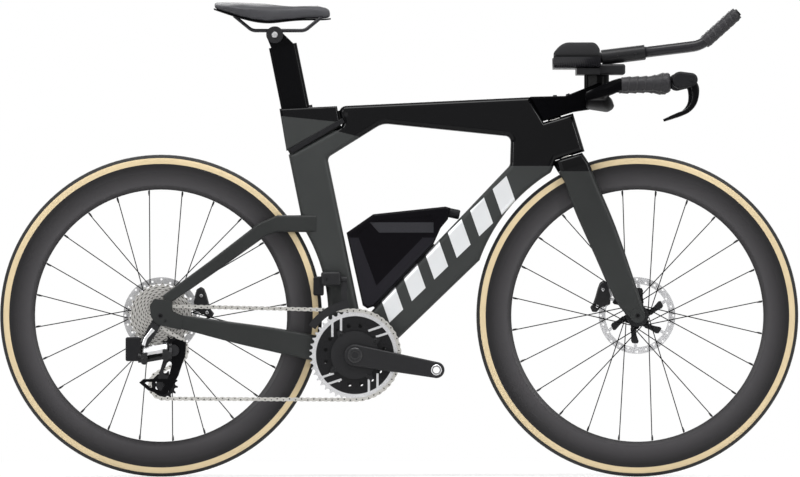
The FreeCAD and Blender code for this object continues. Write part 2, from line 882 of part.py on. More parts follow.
def make_seat_mast():
    """Seat mast: it rocks on a pin in the top tube and closes on the seatpost with a wedge."""
    body = new_body("mast_moulding")
    pad(body, "frame_width", [[
        groove("0", "groove_width"),
        groove("mast_pivot_reach - mast_pivot_radius - mast_pivot_gap", "groove_width"),
        top(f"{PIVOT_ALONG} - mast_pivot_radius - mast_pivot_gap", "0"),
        top("-seat_tube_back", "0")]])
    taper_sides(body)
    round_sides(body, "frame_rounding / 2", value("frame_rear_width / 4"))
    pad(body, "hinge_tongue_width", [[
        groove("mast_pivot_reach - 2 * mast_pivot_radius", "mast_pivot_radius"),
        groove("mast_pivot_reach", "mast_pivot_radius - 2 * mast_pin_radius"),
        groove("mast_pivot_reach", "mast_pivot_radius + 2 * mast_pin_radius"),
        groove("mast_pivot_reach - 2 * mast_pivot_radius", "2 * mast_pivot_radius")]])
    pad(body, "hinge_tongue_width", circles=[PIVOT + ("2 * mast_pin_radius",)])
    pad(body, "baffle_width", [[
        groove("baffle_start", "2 * groove_width"),
        groove("baffle_start + baffle_length", "2 * groove_width"),
        groove("baffle_start + baffle_length", "-baffle_depth"),
        groove("baffle_start", "-baffle_depth")]])
    pocket(body, "2 * frame_width", circles=[PIVOT + ("mast_pin_radius + fit_gap",)])
    hollow = new_body("post_hollow")
    rise(hollow, "post_length + post_insert", post_outline("fit_gap"))
    put(hollow, *side_place(seat("0", f"{POST_LOW} - post_spare")), lean="seat_angle - 90")
    wedge_room = new_body("wedge_room")
    rise(wedge_room, "wedge_height + cut_overrun", wedge_outline())
    put(wedge_room, *side_place(seat("0", "top_tube_height - wedge_height")), lean="seat_angle - 90")
    opened = boolean("mast_opened", "Part::Cut", body, hollow)
    piece(boolean("seat_mast", "Part::Cut", opened, wedge_room))
    wedge = new_body("wedge_block")
    rise(wedge, "wedge_height", wedge_outline())
    put(wedge, *side_place(seat("0", "top_tube_height - wedge_height")), lean="seat_angle - 90")
    piece(boolean("seatpost_wedge", "Part::Cut", wedge, hollow))
    pin = DOC.addObject("Part::Cylinder", "mast_pin")
    pin.setExpression("Radius", bound("mast_pin_radius"))
    pin.setExpression("Height", bound("frame_rear_width"))
    pin.Placement = Placement(Vector(), Rotation(Vector(1, 0, 0), -90))
    put(pin, PIVOT[0], "-frame_rear_width / 2", PIVOT[1])
    piece(pin)


def side_place(place):
    """A side-view place on the middle plane, as the three words that put() takes."""
    return place[0], "0", place[1]


def wedge_outline():
    back, front = "post_chord / 2 - post_width / 4", "post_chord / 2 + wedge_depth"
    return [(back, "wedge_width / 2"), (back, "-wedge_width / 2"), (front, "-wedge_width / 2"),
            (front, "wedge_width / 2")]


make_seat_mast()

CLAMP = seat("-clamp_back", "top_tube_height + post_length + clamp_rise")


def make_seatpost():
    """Wing-section seatpost with a cast head that holds the round rail clamp."""
    post = new_body("post_bar")
    rise(post, "post_length + post_insert", post_outline("0 * fit_gap"))
    put(post, *side_place(seat("0", POST_LOW)), lean="seat_angle - 90")
    head = new_body("post_head")
    low = "top_tube_height + post_length"
    crown = "clamp_radius * 9 / 10"
    pad(head, "post_head_width", [[
        seat("-post_chord * 21 / 50", f"{low} - cut_overrun"),
        seat("post_chord * 19 / 50", f"{low} - cut_overrun"),
        seat("post_chord * 19 / 50", low),
        seat("-clamp_back + clamp_radius", f"{low} + clamp_rise"),
        seat("-clamp_back + clamp_radius", f"{low} + clamp_rise + clamp_radius") + (crown,),
        seat("-clamp_back - clamp_radius", f"{low} + clamp_rise + clamp_radius") + (crown,),
        seat("-clamp_back - clamp_radius", f"{low} + clamp_rise"),
        seat("-post_chord * 21 / 50", low)]])
    pocket(head, "2 * post_head_width", circles=[CLAMP + ("clamp_pin_radius + fit_gap",)])
    piece(boolean("seatpost", "Part::Fuse", post, head))


make_seatpost()
RAIL_Z = f"({CLAMP[1]} + rail_rise)"


def make_rail_clamp():
    """Two jaws on a cross pin: each has a seat for one saddle rail."""
    centre = spot(CLAMP)
    cheek = (S.clamp_width - S.post_head_width) / 2 - S.soft_gap
    rail = spot((CLAMP[0], RAIL_Z))
    length = S.clamp_width - cheek
    joined = Part.makeCylinder(S.clamp_pin_radius, length, centre - Vector(0, length / 2, 0), Vector(0, 1, 0))
    for side in (1, -1):
        middle = side * (S.post_head_width / 2 + S.soft_gap + cheek / 2)
        joined = joined.fuse(Part.makeCylinder(
            S.clamp_radius, cheek, Vector(centre.x, middle - cheek / 2, centre.z), Vector(0, 1, 0)))
    for side in (1, -1):
        joined = joined.cut(Part.makeCylinder(
            S.rail_radius + S.fit_gap, 4 * S.clamp_radius,
            Vector(rail.x - 2 * S.clamp_radius, side * S.rail_spacing / 2, rail.z), Vector(1, 0, 0)))
    piece(solid_piece("rail_clamp", joined))


make_rail_clamp()

# Saddle stations from tail to nose: along the length, half width, crown height, lower edge
SADDLE_SHARES = (
    (0.00, 0.50, 1.09, 0.80),
    (0.10, 0.90, 1.06, 0.62),
    (0.26, 1.00, 1.00, 0.36),
    (0.48, 0.66, 0.97, 0.19),
    (0.70, 0.37, 0.97, 0.30),
    (0.88, 0.31, 0.96, 0.32),
    (1.00, 0.20, 0.78, 0.36),
)


def saddle_section(station, crown, edge, half, drop):
    """Wire of one saddle station: crowned top, rounded shoulders and drawn-in sides."""
    tuck = half * SADDLE_TUCK_SHARE
    shoulder = crown - drop
    points = [Vector(station, half, shoulder), Vector(station, half * SADDLE_CROWN_SHARE, crown - drop / 4),
              Vector(station, 0, crown), Vector(station, -half * SADDLE_CROWN_SHARE, crown - drop / 4),
              Vector(station, -half, shoulder), Vector(station, -tuck, edge), Vector(station, tuck, edge)]
    side_middle = (half + tuck) / 2 + drop * SADDLE_SIDE_SHARE
    level = (shoulder + edge) / 2
    edges = [
        Part.Arc(points[0], points[1], points[2]).toShape(),
        Part.Arc(points[2], points[3], points[4]).toShape(),
        Part.Arc(points[4], Vector(station, -side_middle, level), points[5]).toShape(),
        Part.LineSegment(points[5], points[6]).toShape(),
        Part.Arc(points[6], Vector(station, side_middle, level), points[0]).toShape(),
    ]
    return Part.Wire(edges)


SADDLE_TUCK_SHARE = 0.82
SADDLE_CROWN_SHARE = 0.6
SADDLE_SIDE_SHARE = 0.12
SADDLE_DROP_SHARE = 0.2
SHELL_WIDTH_SHARE = 0.8


def saddle_stations(outer):
    """Wires of the pad, or of the thin shell under it."""
    tail = spot(CLAMP).x - S.saddle_tail_reach
    wires = []
    for along, wide, crown, edge in SADDLE_SHARES:
        station = tail + along * S.saddle_length
        half = wide * S.saddle_width / 2
        base = value(RAIL_Z) + S.saddle_clearance
        upper = base + crown * S.saddle_height
        lower = base + edge * S.saddle_height
        if outer:
            wires.append(saddle_section(station, upper, lower, half, S.saddle_height * SADDLE_DROP_SHARE))
        else:
            shelf = lower - S.soft_gap - S.shell_thickness / 2
            wires.append(rounded_section(Vector(station, 0, shelf), Vector(1, 0, 0), Vector(0, 0, 1),
                                         S.shell_thickness, 2 * half * SHELL_WIDTH_SHARE, SHELL_ROUND_SHARE))
    return wires


SHELL_ROUND_SHARE = 0.6


def make_saddle():
    """Short-nosed saddle: padded cover, thin shell and two bent rails."""
    cover = loft(saddle_stations(True))
    piece(solid_piece("saddle_pad", cover))
    shell = loft(saddle_stations(False))
    piece(solid_piece("saddle_shell", shell))
    rails = []
    middle = spot(CLAMP).x + S.rail_shift
    level = value(RAIL_Z)
    for side in (1, -1):
        out = side * S.rail_spacing / 2
        back, front = middle - S.rail_length / 2, middle + S.rail_length / 2
        nose = Vector(front + S.rail_end, out * RAIL_NOSE_SHARE, level + S.rail_end_rise)
        points = [Vector(back - S.rail_end, out, level + S.rail_end_rise), Vector(back, out, level),
                  Vector(front, out, level), nose]
        rails.append(largest(round_rod(points, S.rail_radius, S.rail_bend).cut([shell, cover])))
    piece(solid_piece("saddle_rails", Part.makeCompound(rails)))


RAIL_NOSE_SHARE = 0.6


def round_rod(points, radius, bend):
    """Round rod along straight runs joined by tangent arcs."""
    edges = []
    start = points[0]
    for index in range(1, len(points) - 1):
        first, summit, last = trim_corner(points[index - 1], points[index], points[index + 1], bend)
        edges.append(Part.LineSegment(start, first).toShape())
        edges.append(Part.Arc(first, summit, last).toShape())
        start = last
    edges.append(Part.LineSegment(start, points[-1]).toShape())
    path = Part.Wire(edges)
    ring = Part.Wire(Part.Circle(points[0], points[1] - points[0], radius).toShape())
    return path.makePipeShell([ring], True, False)


make_saddle()


# Rear stays
# Chain stay stations from the bottom bracket to the dropout: along, rise, spread, depth, width
CHAIN_STAY_SHARES = (
    (0.06, 0.06, 0.00, 0.95, 1.00),
    (0.25, 0.22, 0.07, 1.00, 1.00),
    (0.37, 0.34, 0.24, 0.96, 0.90),
    (0.61, 0.56, 0.62, 0.80, 0.72),
    (0.80, 0.75, 0.87, 0.62, 0.58),
    (0.90, 0.85, 0.98, 0.54, 0.48),
)
# Seat stay stations from the seat tube to the dropout: along, height, spread, depth, width
SEAT_STAY_SHARES = (
    (0.20, 1.00, -0.25, 1.00, 1.00),
    (0.40, 1.00, 0.05, 0.97, 0.92),
    (0.475, 0.94, 0.14, 0.84, 0.85),
    (0.736, 0.53, 0.60, 0.70, 0.75),
    (0.975, 0.17, 1.00, 0.60, 0.60),
)
# Dropout outline about the axle, in shares of the hanger drop
DROPOUT_SHARES = ((-0.5, 1.3), (-0.83, 0.77), (-0.72, -0.1), (-0.33, -0.65), (0.17, -0.78), (1.67, -1.1),
                  (1.67, 0.02), (0.92, 0.38), (0.92, 1.2))


def frame_room():
    """Room of the seat tube and the bottom bracket shell, which the stays are bonded to."""
    bracket, axle = spot((BRACKET_X, BRACKET_Z)), spot((REAR_X, AXLE_Z))
    reach = "top_tube_height"
    corners = [spot(seat("-seat_tube_back", "-seat_tube_front")), spot(seat("-seat_tube_back",
                                                                            "groove_height")),
               spot(seat(reach, "groove_height")), spot(seat(reach, "-seat_tube_front"))]
    tube = flat_plate([(corner.x, corner.z) for corner in corners], 0, 2 * S.frame_width)
    rear = value(f"{SEAT_X} - top_tube_height")
    front = value(steer("head_nose", "head_low")[0])
    half = [S.frame_rear_width / 2 + S.fit_gap, S.frame_width / 2 + S.fit_gap]
    sides = [Vector(rear, -half[0], 0), Vector(front, -half[1], 0), Vector(front, half[1], 0),
             Vector(rear, half[0], 0)]
    wedge = Part.Face(Part.makePolygon(sides + sides[:1])).extrude(Vector(0, 0,
                                                                          2 * S.tyre_radius + S.frame_width))
    wheel = Part.makeCylinder(S.tyre_radius + S.wheel_gap, 2 * S.frame_width, axle - Vector(0,
                                                                                            S.frame_width, 0),
                              Vector(0, 1, 0))
    width = S.bracket_shell_width / 2 + S.fit_gap
    shell = bar(bracket - Vector(0, width, 0), bracket + Vector(0, width, 0),
                S.bracket_shell_radius + S.fit_gap)
    return tube.common(wedge).cut(wheel).fuse(shell)


def make_rear_stays(label, side):
    """Chain stay, dropped seat stay and dropout of one side, bonded to the main moulding."""
    bracket, axle = spot((BRACKET_X, BRACKET_Z)), spot((REAR_X, AXLE_Z))
    outward = S.rear_hub_width / 2 + S.dropout_thickness / 2
    spread = outward - S.stay_root_spread

    def station(along, level, share):
        return Vector(bracket.x + along * (axle.x - bracket.x),
                      side * (S.stay_root_spread + share * spread), level)

    chain = []
    for along, rising, share, depth, width in CHAIN_STAY_SHARES:
        middle = station(along, bracket.z + rising * (axle.z - bracket.z), share)
        chain.append(rounded_section(middle, Vector(1, 0, 0), Vector(0, 0, 1), depth * S.chain_stay_depth,
                                     width * S.chain_stay_width, STAY_ROUND_SHARE))
    upper = []
    centres = [station(along, axle.z + height * S.seat_stay_rise, share)
               for along, height, share, depth, width in SEAT_STAY_SHARES]
    for index, (along, height, share, depth, width) in enumerate(SEAT_STAY_SHARES):
        way = centres[min(index + 1, len(centres) - 1)] - centres[max(index - 1, 0)]
        if index < 2:
            way = Vector(-1, 0, 0)
        upper.append(rounded_section(centres[index], way, Vector(0, 0, 1), depth * S.seat_stay_depth,
                                     width * S.seat_stay_width, STAY_ROUND_SHARE))
    outline = [(axle.x + across * S.hanger_drop, axle.z + rising * S.hanger_drop)
               for across, rising in DROPOUT_SHARES]
    plate = flat_plate(outline, side * outward, S.dropout_thickness)
    upright = [edge for edge in plate.Edges if abs(edge.Vertexes[0].Y - edge.Vertexes[1].Y) > S.fit_gap]
    plate = plate.makeFillet(S.dropout_rounding, upright)
    joined = loft(chain).fuse([loft(upper, True), plate])
    bore = Part.makeCylinder(S.rear_axle_radius, 4 * S.dropout_thickness,
                             Vector(axle.x, side * outward - 2 * S.dropout_thickness, axle.z), Vector(0,
                                                                                                      1, 0))
    stays = largest(joined.cut([bore, frame_room()]))
    return solid_piece(label, stays.removeSplitter())


STAY_ROUND_SHARE = 0.7
RIGHT_STAYS = make_rear_stays("right_stays", -1)
LEFT_STAYS = make_rear_stays("left_stays", 1)
piece(group("rear_stays", [RIGHT_STAYS, LEFT_STAYS]))


# Steering: bearings, fork and base bar stand on the steering axis
def lathe_on_steering(label, corners):
    body = new_body(label)
    turn(body, corners, "XZ_Plane", "V_Axis")
    return on_steering(body)


def make_headset():
    """Two ring bearings: one above and one below in the head tube."""
    rings = []
    for label, low in (("lower_ring", "head_low"), ("upper_ring", "head_high - bearing_height")):
        rings.append(lathe_on_steering(label, [
            ("bearing_inner_radius", low), ("bearing_outer_radius", low),
            ("bearing_outer_radius", f"{low} + bearing_height"),
            ("bearing_inner_radius", f"{low} + bearing_height")]))
    group = DOC.addObject("Part::Compound", "headset_bearings")
    group.Label = "headset_bearings"
    group.Links = rings
    piece(group)


make_headset()

# Fork blade stations down from the crown: along the axis, middle ahead of it, depth, spread, width
BLADE_SHARES = (
    (0.93, 0.26, 0.94, 0.00, 1.00),
    (0.78, 0.32, 0.97, 0.06, 1.00),
    (0.53, 0.52, 0.98, 0.26, 0.95),
    (0.32, 0.66, 0.88, 0.66, 0.80),
    (0.10, 0.82, 0.72, 0.98, 0.62),
    (0.0, 1.0, 0.46, 1.00, 0.56),
)
CROWN_SHARES = ((-0.80, 0.0), (0.85, 0.0), (1.05, 0.07), (1.07, 0.15), (-0.45, 0.15))


def steering_place():
    return Placement(spot((STEER_X, STEER_Z)), Rotation(Vector(0, 1, 0), S.head_angle - 90))


def behind_axis(radius, low, high):
    """Space behind the steering axis, outside a radius, that a turning piece must leave free."""
    reach = 4 * radius
    space = Part.makeBox(reach, 2 * reach, high - low, Vector(-reach, -reach, low))
    return space.cut(Part.makeCylinder(radius, high - low, Vector(0, 0, low)))


def make_fork():
    """Deep crown, two wing-section blades and the steerer, in one moulding."""
    top_level = S.head_low - S.crown_gap
    outward = S.front_hub_width / 2 + S.fork_foot_width / 2
    blades = []
    for side in (1, -1):
        wires = []
        for along, ahead, depth, spread, width in BLADE_SHARES:
            out = S.blade_top_spread + spread * (outward - S.blade_top_spread)
            wires.append(aero_section(Vector(ahead * S.fork_offset, side * out, along * S.head_low),
                                      Vector(0, 0, 1), Vector(1, 0, 0), depth * S.blade_depth,
                                      width * S.blade_width, BLADE_TAIL_SHARE))
        blades.append(loft(wires))
        foot = Vector(S.fork_offset, side * outward - S.fork_foot_width / 2, 0)
        blades.append(Part.makeCylinder(depth * S.blade_depth / 2, S.fork_foot_width, foot, Vector(0, 1, 0)))
    corners = [Vector(ahead * S.head_nose, -S.crown_width / 2, top_level - fall * S.head_low)
               for ahead, fall in CROWN_SHARES]
    crown = Part.Face(Part.makePolygon(corners + corners[:1])).extrude(Vector(0, S.crown_width, 0))
    crown = crown.makeFillet(S.crown_rounding, [edge for edge in crown.Edges
                                                if abs(edge.Vertexes[0].Y - edge.Vertexes[1].Y) < S.fit_gap])
    wheel_room = Part.makeCylinder(S.tyre_radius + S.crown_tyre_gap, S.crown_room_width,
                                   Vector(S.fork_offset, -S.crown_room_width / 2, 0), Vector(0, 1, 0))
    steerer = Part.makeCylinder(S.steerer_radius, S.steerer_top - top_level + S.crown_gap,
                                Vector(0, 0, top_level - S.crown_gap))
    race = Part.makeCylinder(S.bearing_inner_radius - S.fit_gap, S.crown_gap + S.bearing_height,
                             Vector(0, 0, top_level))
    fork = crown.fuse(blades)
    fork = fork.cut(wheel_room)
    fork = fork.cut(behind_axis(S.crown_back_radius, S.head_low - S.crown_lip_drop - S.cut_overrun,
                                S.head_low + S.cut_overrun))
    fork = fork.fuse([steerer, race])
    fork = fork.cut(Part.makeCylinder(S.front_axle_radius, 4 * S.front_hub_width,
                                      Vector(S.fork_offset, -2 * S.front_hub_width, 0), Vector(0, 1, 0)))
    thing = solid_piece("fork", fork.removeSplitter())
    thing.Placement = steering_place()
    return piece(thing)


BLADE_TAIL_SHARE = 0.5
make_fork()

# Base bar: side outline of its middle, in shares of the wing chord ahead and of the pocket rise up
STEM_SHARES = ((-0.75, 0.98), (-0.45, 0.02), (0.72, 0.02), (1.30, -0.06), (1.72, 0.10), (2.0, 0.46),
               (1.96, 0.72),
               (0.6, 0.62))


def bar_point(ahead, out, rise_up):
    """Place on the base bar: ahead of the wing's middle, out sideways and above it."""
    middle = spot(steer("bar_reach", "bar_rise"))
    return Vector(middle.x + ahead, out, middle.z + rise_up)


def wing_wire(point, chord, thickness, along):
    return aero_section(point, along, Vector(1, 0, 0), chord, thickness, WING_TAIL_SHARE)


# Wing stations from the middle outwards: out, ahead, up, chord, thickness
WING_SHARES = ((0.08, 0.16, -0.55, 1.05, 1.25), (0.45, 0.20, -0.95, 1.0, 1.1), (0.80, 0.08, -0.05, 0.85,
                                                                                0.95))
WING_TAIL_SHARE = 0.5


def make_base_bar():
    """Stem and wing in one moulding: the wing turns forward at both ends into the hand grips."""
    place = steering_place()
    corners = [Vector(ahead * S.wing_chord, -S.stem_width / 2,
                      S.head_high + S.crown_gap + up * S.stem_pocket_rise)
               for ahead, up in STEM_SHARES]
    stem = Part.Face(Part.makePolygon(corners + corners[:1])).extrude(Vector(0, S.stem_width, 0))
    stem = stem.makeFillet(S.stem_rounding, stem.Edges)
    stem = stem.cut(cone_outside())
    stem = stem.cut(Part.makeCylinder(S.steerer_radius + S.fit_gap, S.steerer_top - S.head_high + S.fit_gap,
                                      Vector(0, 0, S.head_high)))
    stem = stem.transformed(place.toMatrix())
    shapes = [stem]
    half = S.bar_width / 2
    for side in (1, -1):
        wires = [wing_wire(bar_point(ahead * S.wing_chord, side * out * half, up * S.wing_lift),
                           chord * S.wing_chord, thick * S.wing_thickness, Vector(0, side, 0))
                 for out, ahead, up, chord, thick in WING_SHARES]
        shapes.append(loft(wires))
        shapes.append(horn(side))
    joined = shapes[0].fuse(shapes[1:])
    piece(solid_piece("base_bar", joined.removeSplitter()))


def cone_outside():
    """Space behind the steering axis that the frame's flared pocket leaves no room in."""
    high = S.stem_pocket_rise + S.cut_overrun
    flare = S.stem_pocket_flare * high / S.stem_pocket_rise
    low_radius = S.stem_pocket_radius - S.stem_gap
    core = Part.makeCone(low_radius, low_radius + flare, high, Vector(0, 0, S.head_high))
    reach = 4 * S.stem_pocket_radius
    return Part.makeBox(reach, 2 * reach, high, Vector(-reach, -reach, S.head_high)).cut(core)


def grip_line(side):
    """Start, bend and tip of the line that a hand grip follows."""
    half = S.bar_width / 2
    root = bar_point(WING_SHARES[-1][1] * S.wing_chord, side * WING_SHARES[-1][0] * half,
                     WING_SHARES[-1][2] * S.wing_lift)
    bend = bar_point(S.horn_reach, side * half, S.wing_lift)
    tip = bar_point(S.horn_reach + S.grip_length, side * half, S.wing_lift + S.grip_lift)
    return root, bend, tip


def horn(side):
    """End of the wing: it turns forward, narrows to a round bar and carries the tape."""
    root, bend, tip = grip_line(side)
    out_way = Vector(0, side, 0)
    forward_way = tip - bend
    turn_way = Vector(1, side, 0)
    bulge = S.horn_reach * HORN_BULGE_SHARE
    middle = (root + bend) * 0.5 + Vector(-bulge, side * bulge, 0)
    last = WING_SHARES[-1]
    radius = S.grip_radius - S.tape_thickness
    second = rounded_section(middle, turn_way, Vector(0, 0, 1), 2 * radius, 2 * radius, GRIP_ROUND_SHARE)
    third = rounded_section(bend, forward_way, Vector(0, 0, 1), 2 * radius, 2 * radius, GRIP_ROUND_SHARE)
    fourth = rounded_section(tip, forward_way, Vector(0, 0, 1), 2 * radius, 2 * radius, GRIP_ROUND_SHARE)
    square = rounded_section(root, out_way, Vector(0, 0, 1), last[4] * S.wing_thickness,
                             last[3] * S.wing_chord, GRIP_ROUND_SHARE)
    return loft([square, second, third], False).fuse(loft([third, fourth]))


HORN_BULGE_SHARE = 0.12
GRIP_ROUND_SHARE = 0.96
make_base_bar()


# Wheels
def lathe_on_axle(label, corners, across, up=AXLE_Z, sideways="0"):
    """Turned piece about a cross axle: the outline is (sideways, radius)."""
    body = new_body(label)
    turn(body, corners)
    return put(body, across, sideways, up)


def both_sides(half):
    """Outline of a form that is the same on both sides, from its left half."""
    other = []
    for corner in half[::-1]:
        other.append((f"-({corner[0]})",) + tuple(corner[1:]))
    return half + other


def make_tyre(label, across):
    """Hollow tyre: round tread, thin side walls that stand on the rim's edges."""
    foot = f"{RIM_OUTER} + fit_gap"
    crown = "tyre_width * 0.46"
    outer = both_sides([("-tyre_width / 2", foot), ("-tyre_width / 2", "tyre_radius", crown)])
    inner = both_sides([("-tyre_width / 2 + tyre_wall", foot),
                        ("-tyre_width / 2 + tyre_wall", "tyre_radius - tyre_wall", f"{crown} - tyre_wall")])
    return piece(lathe_on_axle(label, outer + inner[::-1], across))


def make_rim(label, across, valve_angle):
    """Deep rim with its tyre channel, and the valve that comes out of its inner edge."""
    inner = f"({RIM_OUTER} - rim_depth)"
    edge = "rim_width * 0.46"
    outer = both_sides([(f"-{edge}", RIM_OUTER),
                        ("-rim_width / 2", f"{RIM_OUTER} - rim_depth * 0.3"),
                        ("-rim_width * 0.3", f"{inner} + rim_depth * 0.16"),
                        ("-rim_width * 0.14", inner)])
    channel = both_sides([(f"-{edge} + rim_wall", RIM_OUTER),
                          (f"-{edge} + rim_wall", f"{RIM_OUTER} - rim_bed_drop")])
    hoop = lathe_on_axle(label + "_hoop", outer + channel[::-1], across)
    start = spot((across, AXLE_Z))
    way = Vector(math.cos(math.radians(valve_angle)), 0, math.sin(math.radians(valve_angle)))
    base = start + way * (value(RIM_OUTER) - S.rim_depth - S.fit_gap)
    stem = bar(base, base - way * S.valve_length, S.valve_radius)
    tip = bar(base - way * S.valve_length, base - way * (S.valve_length + 3 * S.valve_radius),
              S.valve_radius / 2)
    valve = solid_piece(label + "_valve", stem.fuse(tip))
    return piece(group(label, [hoop, valve]))


def make_spokes(label, across, first_angle, right_flange, left_flange):
    """Straight spokes, crossed on each flange; neighbours pass each other with a gap."""
    middle = spot((across, AXLE_Z))
    hub_radius = S.hub_flange_radius + S.spoke_radius + S.soft_gap
    rim_radius = value(RIM_OUTER) - S.rim_depth - S.soft_gap
    spokes = []
    for number in range(SPOKES):
        angle = math.radians(first_angle + number * 360 / SPOKES)
        flange = -right_flange if number % 2 == 0 else left_flange
        pull = 1 if (number // 2) % 2 == 0 else -1
        hub_angle = angle + pull * math.radians(S.spoke_cross_angle)
        start = middle + Vector(hub_radius * math.cos(hub_angle), flange + pull * S.spoke_stagger,
                                hub_radius * math.sin(hub_angle))
        end = middle + Vector(rim_radius * math.cos(angle), math.copysign(S.spoke_rim_spread, flange),
                              rim_radius * math.sin(angle))
        spokes.append(bar(start, end, S.spoke_radius))
    return piece(solid_piece(label, Part.makeCompound(spokes)))


def make_hub(label, across, marks):
    """Turned hub shell: marks are (sideways, radius) steps from the left end to the right."""
    bore = "rear_axle_radius + fit_gap"
    corners = [(marks[0][0], bore)] + marks + [(marks[-1][0], bore)]
    return piece(lathe_on_axle(label, corners, across))


ROTOR_ARMS = 6
ROTOR_HOLES = 24


def make_rotor(label, across, sideways):
    """Brake disc: drilled track, slanting arms and the carrier ring that sits on the hub."""
    middle = spot((across, AXLE_Z), sideways)
    low = middle - Vector(0, S.rotor_thickness / 2, 0)
    way = Vector(0, 1, 0)
    track = Part.makeCylinder(S.rotor_radius, S.rotor_thickness, low, way).cut(
        Part.makeCylinder(S.rotor_radius - S.rotor_track, S.rotor_thickness, low, way))
    carrier = Part.makeCylinder(S.rotor_hub_radius, S.rotor_thickness, low, way)
    arms = []
    for number in range(ROTOR_ARMS):
        turned = math.radians(number * 360 / ROTOR_ARMS)
        lead = turned + math.radians(S.rotor_arm_lean)
        inner = S.rotor_hub_radius - S.rotor_arm_width / 2
        outer = S.rotor_radius - S.rotor_track + S.rotor_arm_width / 4
        arms.append(hull_plate((middle.x + inner * math.cos(turned), middle.z + inner * math.sin(turned)),
                               S.rotor_arm_width / 2,
                               (middle.x + outer * math.cos(lead), middle.z + outer * math.sin(lead)),
                               S.rotor_arm_width / 3, middle.y, S.rotor_thickness))
    holes = [Part.makeCylinder(S.hub_body_radius + S.fit_gap, S.rotor_thickness, low, way)]
    for number in range(ROTOR_HOLES):
        turned = math.radians(number * 360 / ROTOR_HOLES)
        reach = S.rotor_radius - S.rotor_track * ROTOR_HOLE_SHARES[number % len(ROTOR_HOLE_SHARES)]
        holes.append(Part.makeCylinder(S.rotor_hole_radius, S.rotor_thickness,
                                       low + Vector(reach * math.cos(turned), 0,
                                                    reach * math.sin(turned)), way))
    return piece(solid_piece(label, track.fuse([carrier] + arms).cut(holes).removeSplitter()))


ROTOR_HOLE_SHARES = (0.3, 0.5, 0.7)


def make_thru_axle(label, across, radius, width, foot):
    """Hollow through axle with a flush head in the left dropout."""
    end = f"({width} / 2 + {foot})"
    body = lathe_on_axle(label, [
        (f"-{end}", "axle_bore_radius"), (f"-{end}", f"{radius} - fit_gap"), (end, f"{radius} - fit_gap"),
        (end, "axle_bore_radius")], across)
    return piece(body)


def make_wheels():
    make_tyre("front_tyre", FRONT_X)
    make_tyre("rear_tyre", REAR_X)
    make_rim("front_rim", FRONT_X, FRONT_SPOKE_ANGLE + 1.5 * 360 / SPOKES)
    make_rim("rear_rim", REAR_X, REAR_SPOKE_ANGLE - 3.5 * 360 / SPOKES)
    make_spokes("front_spokes", FRONT_X, FRONT_SPOKE_ANGLE, S.front_flange_spread, S.front_flange_spread)
    make_spokes("rear_spokes", REAR_X, REAR_SPOKE_ANGLE, S.rear_right_flange, S.rear_left_flange)
    cap, tube, disc = "hub_cap_radius", "hub_body_radius", "hub_flange_radius"
    half = "flange_thickness / 2"
    front_end = "(front_hub_width / 2 - fit_gap)"
    make_hub("front_hub", FRONT_X, [
        (f"-{front_end}", cap), ("-front_flange_spread - flange_thickness", cap),
        ("-front_flange_spread - flange_thickness", tube), (f"-front_flange_spread - {half}", tube),
        (f"-front_flange_spread - {half}", disc), (f"-front_flange_spread + {half}", disc),
        (f"-front_flange_spread + {half}", tube), (f"front_flange_spread - {half}", tube),
        (f"front_flange_spread - {half}", disc), (f"front_flange_spread + {half}", disc),
        (f"front_flange_spread + {half}", tube), ("front_rotor_place + flange_thickness / 2", tube),
        ("front_rotor_place + flange_thickness / 2", cap), (front_end, cap)])
    make_hub("rear_hub", REAR_X, [
        (f"-rear_right_flange - {half}", disc), (f"-rear_right_flange + {half}", disc),
        (f"-rear_right_flange + {half}", tube), (f"rear_left_flange - {half}", tube),
        (f"rear_left_flange - {half}", disc), (f"rear_left_flange + {half}", disc),
        (f"rear_left_flange + {half}", tube), ("rear_rotor_place + flange_thickness / 2", tube),
        ("rear_rotor_place + flange_thickness / 2", cap), ("rear_hub_width / 2 - fit_gap", cap)])
    make_rotor("front_rotor", FRONT_X, "front_rotor_place")
    make_rotor("rear_rotor", REAR_X, "rear_rotor_place")
    make_thru_axle("rear_thru_axle", REAR_X, "rear_axle_radius", "rear_hub_width", "dropout_thickness")
    make_thru_axle("front_thru_axle", FRONT_X, "front_axle_radius", "front_hub_width", "fork_foot_width")


FRONT_SPOKE_ANGLE = 96.7
REAR_SPOKE_ANGLE = 95.3
make_wheels()


# Chain path in the side view: pitch circles joined by tangent lines
def pitch_radius(teeth):
    return S.chain_pitch / (2 * math.sin(math.pi / teeth))


